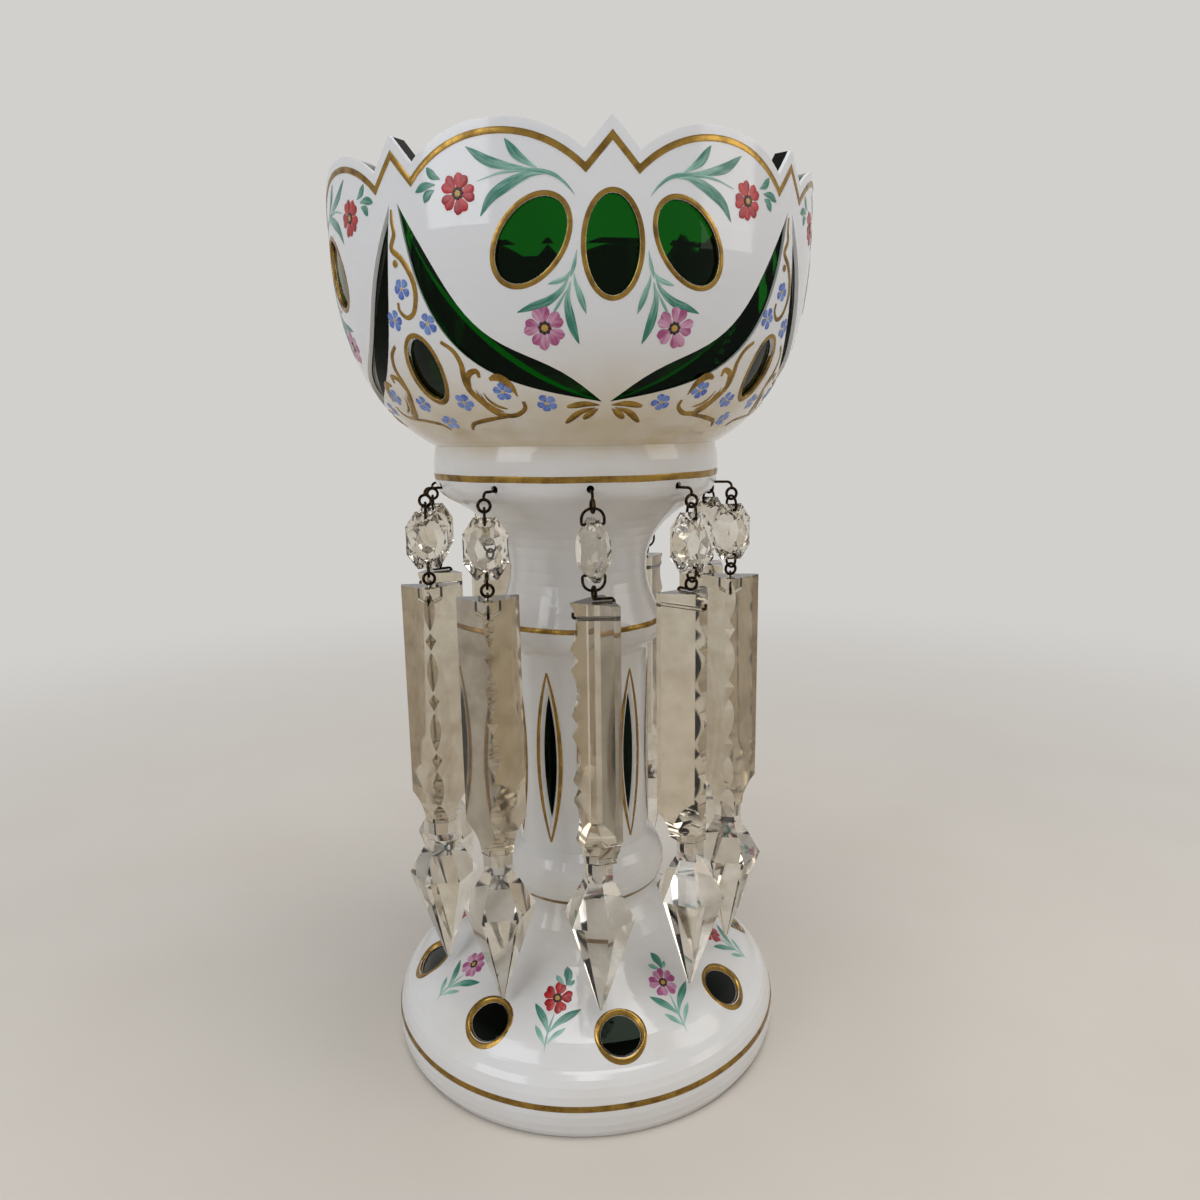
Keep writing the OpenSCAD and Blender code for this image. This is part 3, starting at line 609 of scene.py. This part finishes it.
# Each line has its coat, its wall, its height and its width in mm.
GILT_LINES = [
    (gilding_stem, stem_wall, 211.8, 2.0),
    (gilding_stem, stem_wall, 159.5, 1.7),
    (gilding_stem, stem_wall, 58.6, 2.6),
    (gilding_foot, foot_wall, 11.5, 2.0),
]
for coat, wall, z, width in GILT_LINES:
    turned_line(coat, wall, z, width)
print(len(GILT_LINES), "gilt lines")

# %% [markdown]
# ## The gilt rim
# The rim has eight points, and between them eight wide scallops. A gilt line follows it at an even
# distance, and leaves a white edge outside. Shrinking the point's triangle and the scallop's circle by that
# distance, and taking the higher of the two, gives the parallel line with its sharp corners.

# %% A line along the pointed rim
PANEL = 8.5
RIM_POINTS = 8
rim_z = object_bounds()[1][2] / MM
rim_r = float(bowl_wall.radius[-1])
point_w, point_h, point_flat, scallop_rise = 14.4, 8.1, 0.25, 0.3
half_gap = rim_r * math.sin(math.pi / RIM_POINTS)
scallop_run = half_gap - point_w / 2
scallop_r = (scallop_run ** 2 + (point_h + scallop_rise) ** 2) / (2 * (point_h + scallop_rise))


def rim_height(turn, inside):
    """Height of the line that runs a distance inside the rim, at turns from a point's middle."""
    x = np.abs(rim_r * np.sin(np.radians(turn)))
    steep = point_h / (point_w / 2)
    point = rim_z - (x - point_flat) * steep - inside * math.hypot(1, steep)
    under = np.maximum(0, (scallop_r - inside) ** 2 - (half_gap - x) ** 2)
    scallop = rim_z + scallop_rise - scallop_r + np.sqrt(under)
    return np.maximum(point, scallop)


turns = np.arange(-22.5, 22.5, 0.25)
inside = np.array([4.2, 3.9, 3.35, 2.8, 2.5])
lift = np.array([0.04, 0.12, 0.15, 0.12, 0.04])
rim_turns = np.concatenate([turns + PANEL + 45 * k for k in range(RIM_POINTS)])
rim_levels = np.stack([np.tile(rim_height(turns, d), RIM_POINTS) for d in inside], axis=-1)
rim_line = bowl_wall.place(rim_turns[:, None], bowl_wall.along_at(rim_levels), lift[None, :])
rim_marks = np.stack(np.broadcast_arrays(np.radians(rim_turns)[:, None] * rim_r, inside[None, :]), axis=-1)
gilding_bowl.patch(rim_line, rim_marks, closed=True)
print("rim line", len(rim_turns), "steps")

# %% [markdown]
# ## Gilt window edges
# Each oval window has its cut edge gilded: the gold starts a little way out on the white, rolls over the
# edge and goes down the cut to the green glass. The window was cut straight in from the front, so its
# outline is flat in that direction, and the turn follows from how far to the side a point lies.

# %% Oval windows
RING_OUT = np.array([1.35, 0.95, 0.35, 0.05, -0.06, -0.06])
RING_LIFT = np.array([0.03, 0.12, 0.13, 0.05, -0.25, -1.05])


def gilt_oval(turn, z, width, tall, lean):
    """A gilt ring on an oval window of the bowl, given its middle, its two axes and its lean."""
    t = np.radians(np.arange(0, 360, 4.0))[:, None]
    x = width / 2 * np.cos(t)
    y = tall / 2 * np.sin(t)
    nx = np.cos(t) * tall
    ny = np.sin(t) * width
    size = np.hypot(nx, ny)
    x = x + RING_OUT * nx / size
    y = y + RING_OUT * ny / size
    c, s = math.cos(math.radians(lean)), math.sin(math.radians(lean))
    flat_x = x * c - y * s
    level = z + x * s + y * c
    along = bowl_wall.along_at(level)
    side = np.degrees(np.arcsin(flat_x / bowl_wall.radius_at(along)))
    round_it = np.cumsum(np.hypot(np.diff(x[:, 0], prepend=x[0, 0]), np.diff(y[:, 0], prepend=y[0, 0])))
    marks = np.stack(np.broadcast_arrays(round_it[:, None], RING_OUT[None, :]), axis=-1)
    lift = np.broadcast_to(RING_LIFT, along.shape)
    gilding_bowl.patch(bowl_wall.place(turn + side, along, lift), marks, closed=True)


SEAT = 222.0
PANELS = 4
# Each oval of a panel has its turn from the middle, its height over the seat, its two axes and its lean.
PANEL_OVALS = [
    (0, 52.0, 14.4, 24.9, 0),
    (15.6, 53.2, 15.6, 24.1, 40),
    (-15.6, 53.2, 15.6, 24.1, -40),
    (45, 22.5, 11.2, 17.0, 0),
]
for k in range(PANELS):
    for turn, z, width, tall, lean in PANEL_OVALS:
        gilt_oval(PANEL + 90 * k + turn, SEAT + z, width, tall, lean)
print(PANELS * len(PANEL_OVALS), "gilt ovals")

# %% [markdown]
# ## Gilt edges on the column and the foot
# Ten pointed cuts stand round the column. The gold runs beside each cut and leaves its white bevel bare.
# The eight round windows of the foot have a sloping edge, and there the gold covers the slope.

# %% Pointed cuts
CUTS, COLUMN_R = 10, 25.0
CUT_MIDDLE, CUT_HALF, CUT_SIDE = 111.5, 31.8, 4.5
CUT_WIDTHS = [0.7, 1.35, 1.6, 1.6, 1.35, 0.7]
for k in range(CUTS):
    for hand in (-1, 1):
        t = np.linspace(-1, 1, 41)
        side = hand * np.degrees(CUT_SIDE * (1 - t * t) / COLUMN_R)
        path = np.stack([PANEL + 36 * k + side, stem_wall.along_at(CUT_MIDDLE + CUT_HALF * t)], axis=-1)
        stroke(gilding_stem, stem_wall, path, CUT_WIDTHS)
print(CUTS, "cuts gilded")

# %% Round windows
FOOT_WINDOWS = 8
FOOT_TURN, FOOT_RING_Z, RING_EDGE = 11.3, 28.0, 8.95
SLOPE_SHARE = np.array([0.0, 0.12, 0.32, 0.5, 0.7, 0.88, 0.985])
SLOPE_LIFT = np.array([0.02, 0.1, 0.13, 0.14, 0.13, 0.1, 0.03])
middle = foot_wall.along_at(FOOT_RING_Z)
t = np.radians(np.arange(0, 360, 5.0))[:, None]
slope_foot = np.array([[foot_wall.first_white(FOOT_TURN, middle, a)] for a in t[:, 0]])
reach = RING_EDGE + SLOPE_SHARE * (slope_foot - RING_EDGE)
along = middle + reach * np.sin(t)
ring_marks = np.stack([np.broadcast_to(t * 8.0, reach.shape), reach], axis=-1)
for k in range(FOOT_WINDOWS):
    turn = FOOT_TURN + 45 * k + np.degrees(reach * np.cos(t) / foot_wall.radius_at(along))
    ring = foot_wall.settle(turn, along, np.broadcast_to(SLOPE_LIFT, along.shape))
    gilding_foot.patch(ring, ring_marks, closed=True)
print("slopes end", round(slope_foot.min(), 2), "to", round(slope_foot.max(), 2), "mm from the middle")
print(FOOT_WINDOWS, "round windows gilded")

# %% [markdown]
# ## How the painter made a flower
# A petal is two short strokes side by side, each pressed down at its outer end, which makes a heart. One of
# the two is always loaded with more colour. Five such petals stand round a yellow eye with a ring of dark
# dots. A leaf is one stroke, dark where the brush was pressed down and pale where it was lifted away.
# Widths are given at even steps along the stroke as shares of its full width.

# %% Flowers and leaves
DROP = np.array([0.22, 0.42, 0.6, 0.76, 0.9, 0.98, 1.0, 0.94, 0.74, 0.12])
LEAF = np.array([0.1, 0.3, 0.5, 0.72, 0.9, 1.0, 0.97, 0.8, 0.5, 0.08])
hand_of_painter = np.random.default_rng(11)


def around_place(wall, turn, along, points):
    """Turns flat points, in mm to the right and up the glass from a place, into turns and distances."""
    flat = np.array(points, dtype=float)
    up = along + flat[:, 1]
    return np.stack([turn + np.degrees(flat[:, 0] / wall.radius_at(up)), up], axis=-1)


def dot(coat, wall, turn, along, size, load):
    """A small round dab of paint."""
    t = np.linspace(-0.5, 0.5, 7)
    path = around_place(wall, turn, along, np.stack([t * size, 0 * t], axis=-1))
    stroke(coat, wall, path, size * np.sqrt(np.maximum(0.02, 1 - (2 * t) ** 2)), 0.1, 0.16, loads=[load])


def heart_flower(colour, eyes, dots, wall, turn, along, size, spin):
    """Five heart petals of two strokes each round a yellow eye with dark dots."""
    for k in range(5):
        for lobe, strength in ((-1, 0.55), (1, 1.05)):
            a = math.radians(spin + 72 * k + lobe * 17.5 + hand_of_painter.uniform(-3, 3))
            long = size * hand_of_painter.uniform(0.92, 1.05)
            t = np.linspace(0.16, 1.0, 16)
            bend = lobe * 0.07 * size * np.sin(math.pi * t)
            flat = np.stack([t * long * math.sin(a) - bend * math.cos(a),
                             t * long * math.cos(a) + bend * math.sin(a)], axis=-1)
            load = strength * hand_of_painter.uniform(0.75, 1.1)
            stroke(colour, wall, around_place(wall, turn, along, flat), DROP * size * 0.5, 0.12, 0.05,
                   loads=[load * 0.35, load * 0.7, load, load * 1.1])
    dot(eyes, wall, turn, along, size * 0.4, 0.6)
    for k in range(8):
        a = math.radians(spin + 20 + 45 * k)
        place = around_place(wall, turn, along, [(size * 0.22 * math.sin(a), size * 0.22 * math.cos(a))])[0]
        dot(dots, wall, place[0], place[1], size * 0.2, 1.0)
    dot(dots, wall, turn, along, size * 0.12, 0.8)


def small_flower(colour, eyes, wall, turn, along, size, spin):
    """Five single round petals with a pale eye."""
    for k in range(5):
        a = math.radians(spin + 72 * k + hand_of_painter.uniform(-7, 7))
        long = size * hand_of_painter.uniform(0.9, 1.1)
        t = np.linspace(0.2, 1.0, 12)
        flat = np.stack([t * long * math.sin(a), t * long * math.cos(a)], axis=-1)
        load = hand_of_painter.uniform(0.45, 1.0)
        stroke(colour, wall, around_place(wall, turn, along, flat), DROP * size * 0.78, 0.1, 0.05,
               loads=[load, load * 0.7, load * 0.85, load * 1.2])
    dot(eyes, wall, turn, along, size * 0.3, 0.1)


def leaf(coat, wall, path, width, pale=0.0, full=1.0):
    """One stroke from its pale lifted end to its dark pressed end."""
    stroke(coat, wall, path, LEAF * width, 0.1, 0.05, loads=[pale, (pale + full) / 2, full, full])


print("painter ready")

# %% [markdown]
# ## The bowl's four panels
# A panel is symmetric: a red flower high at each side with three long leaves that reach over the ovals, and
# a mauve flower below between the ovals with a spray of leaves. Places are degrees from the panel's middle
# and millimetres above the bowl's seat, for one half. The other half is its mirror image.

# %% Panel flowers
red_bowl = Coat("red_flowers_on_bowl", red)
mauve_bowl = Coat("mauve_flowers_on_bowl", mauve)
blue_bowl = Coat("blue_flowers_on_bowl", blue)
leaves_bowl = Coat("leaves_on_bowl", leaf_green)
eyes_bowl = Coat("flower_eyes_on_bowl", yellow)
dots_bowl = Coat("flower_dots_on_bowl", brown)

# Each leaf runs from its pale base to its tip, and ends with its width and its two loads.
PANEL_LEAVES = [
    ([(-15.5, 70.3), (-20.0, 71.4), (-23.6, 73.1), (-27.4, 76.7)], 2.6, 0.1, 0.95),
    ([(-13.9, 70.4), (-15.9, 72.0), (-17.8, 74.0), (-19.8, 77.8)], 2.4, 0.05, 0.9),
    ([(-11.6, 69.1), (-16.0, 68.8), (-22.2, 64.6), (-25.0, 59.7)], 3.0, 0.15, 1.0),
    ([(-25.5, 68.1), (-20.8, 69.7), (-15.9, 70.0), (-11.6, 69.1), (-8.9, 66.7), (-7.1, 63.8)],
     1.1, 0.3, 0.6),
    ([(-33.0, 69.7), (-34.8, 71.0), (-36.0, 73.1)], 2.2, 0.6, 1.0),
    ([(-34.2, 68.6), (-36.6, 68.6), (-38.9, 67.5)], 2.2, 0.7, 1.0),
    ([(-34.5, 67.3), (-36.0, 66.4), (-36.9, 64.5)], 2.4, 0.8, 1.0),
    ([(-6.9, 50.8), (-7.4, 47.5), (-8.2, 44.0)], 1.0, 0.2, 0.5),
    ([(-8.4, 44.6), (-10.0, 41.0), (-12.9, 38.2), (-16.2, 36.9), (-19.1, 35.7)], 2.3, 0.2, 1.0),
    ([(-8.2, 43.0), (-8.9, 39.0), (-8.6, 35.1), (-7.8, 31.0), (-6.7, 27.5)], 2.5, 0.2, 1.05),
    ([(-7.5, 45.0), (-7.3, 42.8), (-6.8, 40.9), (-5.2, 35.0)], 1.7, 0.1, 0.6),
    ([(-9.0, 41.0), (-10.4, 38.0), (-12.1, 34.9)], 0.8, 0.3, 0.6),
    ([(-7.8, 46.0), (-9.6, 43.6), (-12.6, 42.4)], 1.3, 0.05, 0.35),
]
# Each flower has its coat, its turn and height, the length of its petals and its spin.
PANEL_FLOWERS = [
    (red_bowl, 29.4, 65.7, 5.2, 22),
    (mauve_bowl, 13.7, 31.7, 5.8, -14),
]


def on_bowl(middle, hand, points):
    """A smooth path on the bowl from degrees and heights, mirrored for the other hand."""
    return smooth_path([(middle + hand * x, float(bowl_wall.along_at(SEAT + z))) for x, z in points])


for k in range(PANELS):
    panel = PANEL + 90 * k
    for hand in (1, -1):
        for points, width, pale, full in PANEL_LEAVES:
            leaf(leaves_bowl, bowl_wall, on_bowl(panel, hand, points), width, pale, full)
        for coat, turn, z, size, spin in PANEL_FLOWERS:
            heart_flower(coat, eyes_bowl, dots_bowl, bowl_wall, panel - hand * turn,
                         bowl_wall.along_at(SEAT + z), size, spin * hand)
print("sixteen flowers in four panels")

# %% [markdown]
# ## The corners between the panels
# Between two crescents stands a slim field with a low oval window. Gold scrolls frame it, each one brush
# movement that swells in its curves, and small blue flowers fill the gaps.

# %% Gold scrolls and blue flowers
LINE = np.array([0.5, 0.8, 0.95, 1.0, 1.0, 0.9, 0.75, 0.55])
SPEAR = np.array([0.15, 0.5, 0.8, 1.0, 1.0, 0.85, 0.4])
UPPER_SCROLL = [(-0.6, 64.5), (-0.7, 61.2), (-0.4, 58.1), (-1.5, 54.6), (1.0, 51.4), (3.0, 46.7),
                (3.4, 42.2), (2.1, 37.8), (-0.2, 36.4), (-2.0, 38.3), (-2.1, 40.6)]
# Scrolls of one side, with their widths in mm; the other side mirrors them.
SIDE_SCROLLS = [
    ([(7.2, 29.4), (9.7, 27.0), (10.9, 23.5), (10.5, 19.5), (10.8, 16.5), (12.6, 13.5), (16.0, 9.8),
      (20.7, 9.1), (24.0, 10.8), (24.2, 12.9)], 2.0, LINE[::-1]),
    ([(11.2, 17.0), (11.4, 19.2), (12.4, 20.8), (14.3, 21.3), (14.6, 19.6)], 1.8, LINE),
    ([(13.4, 15.2), (14.0, 13.0), (15.8, 11.2), (18.0, 10.2)], 1.1, SPEAR),
    ([(14.3, 15.6), (15.0, 13.6), (16.8, 11.9), (19.4, 10.9)], 1.0, SPEAR),
    ([(12.6, 16.4), (13.0, 14.2), (14.6, 11.9), (16.6, 10.4)], 1.0, SPEAR),
    ([(17.0, 19.0), (18.7, 19.5), (20.2, 18.9), (22.0, 16.9), (23.0, 14.3)], 2.5, SPEAR[::-1]),
    ([(4.4, 5.3), (6.2, 6.8), (8.4, 7.4), (13.9, 8.3), (18.7, 8.8)], 1.6, LINE),
]
SPRAY = [
    ([(-1.5, 11.6), (-5.4, 11.9), (-9.9, 11.2)], 2.2),
    ([(-2.6, 10.9), (-6.6, 9.6), (-10.5, 6.7)], 2.1),
    ([(-1.8, 10.6), (-3.6, 9.4), (-5.6, 7.8)], 2.2),
]
BLUE_PLACES = [(-0.3, 44.0), (-4.4, 36.2), (5.0, 34.4), (19.6, 15.6), (-19.6, 15.6), (7.5, 13.0),
               (-7.5, 13.0), (-2.1, 7.6), (30.0, 12.2), (-30.0, 12.2)]
SCROLL_DOT_TURN, SCROLL_DOT_Z, SCROLL_DOT_SIZE = -0.9, 50.6, 2.0
BLUE_SIZE = 3.0
for k in range(PANELS):
    corner = PANEL + 45 + 90 * k
    stroke(gilding_bowl, bowl_wall, on_bowl(corner, 1, UPPER_SCROLL), LINE * 1.75, 0.16)
    dot(gilding_bowl, bowl_wall, corner + SCROLL_DOT_TURN, bowl_wall.along_at(SEAT + SCROLL_DOT_Z),
        SCROLL_DOT_SIZE, 1.0)
    for hand in (1, -1):
        for points, width, shape in SIDE_SCROLLS:
            stroke(gilding_bowl, bowl_wall, on_bowl(corner, hand, points), shape * width, 0.16)
        for points, width in SPRAY:
            stroke(gilding_bowl, bowl_wall, on_bowl(PANEL + 90 * k, hand, points), SPEAR * width, 0.18)
    for x, z in BLUE_PLACES:
        small_flower(blue_bowl, eyes_bowl, bowl_wall, corner + x, bowl_wall.along_at(SEAT + z), BLUE_SIZE,
                     hand_of_painter.uniform(0, 72))
print("four corners")

# %% [markdown]
# ## The foot's flowers
# Between two round windows of the foot stands a flower on a stalk with five leaves, red and mauve in turn.
# Places are millimetres to the right and up the slope from the flower's middle.

# %% Foot flowers
red_foot = Coat("red_flowers_on_foot", red)
mauve_foot = Coat("mauve_flowers_on_foot", mauve)
leaves_foot = Coat("leaves_on_foot", leaf_green)
eyes_foot = Coat("flower_eyes_on_foot", yellow)
dots_foot = Coat("flower_dots_on_foot", brown)
FLOWER_ALONG, FLOWER_SIZE = 46.2, 5.2
FOOT_LEAVES = [
    ([(-1.4, -18.2), (-1.2, -12.0), (0.0, -4.6)], 0.7, 0.3, 0.5),
    ([(-0.8, -11.6), (2.4, -7.6), (8.7, -3.4)], 2.7, 0.25, 0.95),
    ([(-1.0, -15.4), (1.2, -12.6), (4.6, -9.8)], 1.6, 0.05, 0.4),
    ([(-0.9, -12.4), (-3.4, -7.6), (-7.4, -2.9)], 2.6, 0.25, 0.95),
    ([(-1.4, -16.0), (-3.4, -13.2), (-5.9, -10.0)], 1.8, 0.1, 0.5),
    ([(2.4, 4.4), (2.6, 7.4), (1.6, 11.0)], 3.0, 0.8, 1.0),
    ([(1.6, 4.8), (0.0, 6.0), (-1.8, 7.6)], 1.7, 0.3, 0.6),
    ([(2.6, 4.6), (3.8, 5.2), (5.0, 6.4)], 1.5, 0.3, 0.6),
]
for k in range(FOOT_WINDOWS):
    turn = FOOT_TURN - 22.5 + 45 * k
    colour = (red_foot, mauve_foot)[k % 2]
    for points, width, pale, full in FOOT_LEAVES:
        path = around_place(foot_wall, turn, FLOWER_ALONG, smooth_path(points))
        leaf(leaves_foot, foot_wall, path, width, pale, full)
    heart_flower(colour, eyes_foot, dots_foot, foot_wall, turn, FLOWER_ALONG, FLOWER_SIZE, 8 - 6 * (k % 3))
print("eight flowers on the foot")

# %% Lay gold and colours
for coat in (gilding_bowl, gilding_stem, gilding_foot, leaves_bowl, red_bowl, mauve_bowl, blue_bowl,
             eyes_bowl, dots_bowl, leaves_foot, red_foot, mauve_foot, eyes_foot, dots_foot):
    coat.lay()

# %% [markdown]
# ## Stage, light and camera
# The lustre stands on a plain pale floor under soft studio light. The world is a quiet grey for the light
# that it gives, and for what the camera, the glass and the metal see of it, a pale backdrop that darkens
# overhead like a studio ceiling, which gives the cut crystal something to break up. The floor takes the
# lustre's shadow, and far out it fades into the backdrop, so no horizon runs behind the glass.

# %% Floor
BACKDROP = "#D2D0CD"


def seen_by_eye(tree):
    """One for rays from the camera, from gloss and through glass, and nought for the light that falls."""
    rays = add(tree, "ShaderNodeLightPath")
    seen = add(tree, "ShaderNodeMath", {"operation": "MAXIMUM"},
               {0: rays.outputs["Is Camera Ray"], 1: rays.outputs["Is Glossy Ray"]})
    seen_too = add(tree, "ShaderNodeMath", {"operation": "MAXIMUM"},
                   {0: seen.outputs[0], 1: rays.outputs["Is Transmission Ray"]})
    return seen_too.outputs[0]


bpy.ops.mesh.primitive_circle_add(vertices=128, radius=2.5, fill_type="NGON", location=(0, 0, -0.0002))
floor = bpy.context.object
floor.name = "studio_floor"
floor_paint, tree, shader = new_material("matt_pale_floor_paint")
where = add(tree, "ShaderNodeTexCoord")
grit = add(tree, "ShaderNodeTexNoise", inputs={
    "Vector": where.outputs["Object"], "Scale": 1 / 0.08, "Detail": 3.0})
paint = add(tree, "ShaderNodeMix", COLOUR_MIX, {
    FACTOR: grit.outputs["Fac"], FIRST: linear("#D8D1C7"), SECOND: linear("#CFC7BC")})
tree.links.new(paint.outputs[MIXED], shader.inputs["Base Color"])
shader.inputs["Roughness"].default_value = 0.7
# The fade starts a hand's breadth outside the foot and is complete at nine tenths of a metre.
far = add(tree, "ShaderNodeVectorMath", {"operation": "LENGTH"}, {0: where.outputs["Object"]})
fade = add(tree, "ShaderNodeMapRange", {"interpolation_type": "SMOOTHSTEP"},
           {"Value": far.outputs["Value"], "From Min": 0.16, "From Max": 0.9})
share = add(tree, "ShaderNodeMath", {"operation": "MULTIPLY"}, {0: fade.outputs[0], 1: seen_by_eye(tree)})
glow = add(tree, "ShaderNodeEmission", inputs={"Color": linear(BACKDROP), "Strength": 1.0})
faded = add(tree, "ShaderNodeMixShader", inputs={
    0: share.outputs[0], 1: shader.outputs[0], 2: glow.outputs[0]})
tree.links.new(faded.outputs[0], tree.nodes["Material Output"].inputs["Surface"])
floor.data.materials.append(floor_paint)
print("floor laid")

# %% World
world = bpy.data.worlds.new("studio_air")
bpy.context.scene.world = world
world.use_nodes = True
tree = world.node_tree
tree.nodes.clear()
# The backdrop is even up to 25 degrees over the horizon and at its darkest from 60 degrees up.
way = add(tree, "ShaderNodeTexCoord")
rise = add(tree, "ShaderNodeSeparateXYZ", inputs={"Vector": way.outputs["Generated"]})
overhead = add(tree, "ShaderNodeMapRange", {"interpolation_type": "SMOOTHSTEP"},
               {"Value": rise.outputs["Z"], "From Min": 0.42, "From Max": 0.87})
sky = add(tree, "ShaderNodeMix", COLOUR_MIX, {
    FACTOR: overhead.outputs[0], FIRST: linear(BACKDROP), SECOND: linear("#7E7B78")})
lit = add(tree, "ShaderNodeBackground", inputs={"Color": linear("#E0E3E8"), "Strength": 0.45})
shown = add(tree, "ShaderNodeBackground", inputs={"Color": sky.outputs[MIXED], "Strength": 1.0})
air = add(tree, "ShaderNodeMixShader", inputs={
    0: seen_by_eye(tree), 1: lit.outputs[0], 2: shown.outputs[0]})
add(tree, "ShaderNodeOutputWorld", inputs={"Surface": air.outputs[0]})
print("world set")


# %% Lamps
def softbox(name, place, aim, size, watts, colour):
    """A square soft lamp at a place, turned to face an aim, both in metres."""
    lamp = bpy.data.lights.new(name, "AREA")
    lamp.shape = "SQUARE"
    lamp.size = size
    lamp.energy = watts
    lamp.color = linear(colour)[:3]
    stand = bpy.data.objects.new(name, lamp)
    stand.location = place
    stand.rotation_euler = (Vector(aim) - Vector(place)).to_track_quat("-Z", "Y").to_euler()
    bpy.context.scene.collection.objects.link(stand)
    print(name, watts, "W")


softbox("softbox_overhead", (0.1, -0.15, 1.35), (0, 0, 0.2), 0.9, 9.5, "#FFFFFF")
softbox("softbox_left_front", (-0.95, -0.85, 0.75), (0, 0, 0.18), 0.7, 4.3, "#F6F9FF")
softbox("softbox_right", (1.1, -0.35, 0.6), (0, 0, 0.18), 0.6, 2.2, "#FFF9F2")

# %% [markdown]
# ## The camera
# The camera stands where the photograph was taken from: a third of a metre in front of the lustre, at
# about the height of the bowl's seat, tipped down by some eleven degrees, with a wide lens.

# %% Camera
# Angles are in radians, the place in mm and the focal length in pixels of the 1200 pixel image.
yaw, pitch, roll = 0.0127, 0.1893, -0.0155
CAMERA_PLACE = (3.717, -322.02, 226.46)
FOCAL_PIXELS, IMAGE_PIXELS = 884.7, 1200
ahead = Vector((math.sin(yaw) * math.cos(pitch), math.cos(yaw) * math.cos(pitch), -math.sin(pitch)))
level = Vector((math.cos(yaw), -math.sin(yaw), 0))
over = level.cross(ahead)
right = level * math.cos(roll) + over * math.sin(roll)
up = over * math.cos(roll) - level * math.sin(roll)
stance = Matrix((right, up, -ahead)).transposed().to_4x4()
stance.translation = Vector(CAMERA_PLACE) * MM
lens = bpy.data.cameras.new("photo_camera")
lens.sensor_width = 36.0
lens.lens = FOCAL_PIXELS / IMAGE_PIXELS * lens.sensor_width
lens.clip_start = 0.01
camera = bpy.data.objects.new("photo_camera", lens)
camera.matrix_world = stance
bpy.context.scene.collection.objects.link(camera)
bpy.context.scene.camera = camera
bpy.context.scene.view_settings.view_transform = "Standard"
print("camera at", [round(c, 3) for c in camera.location])
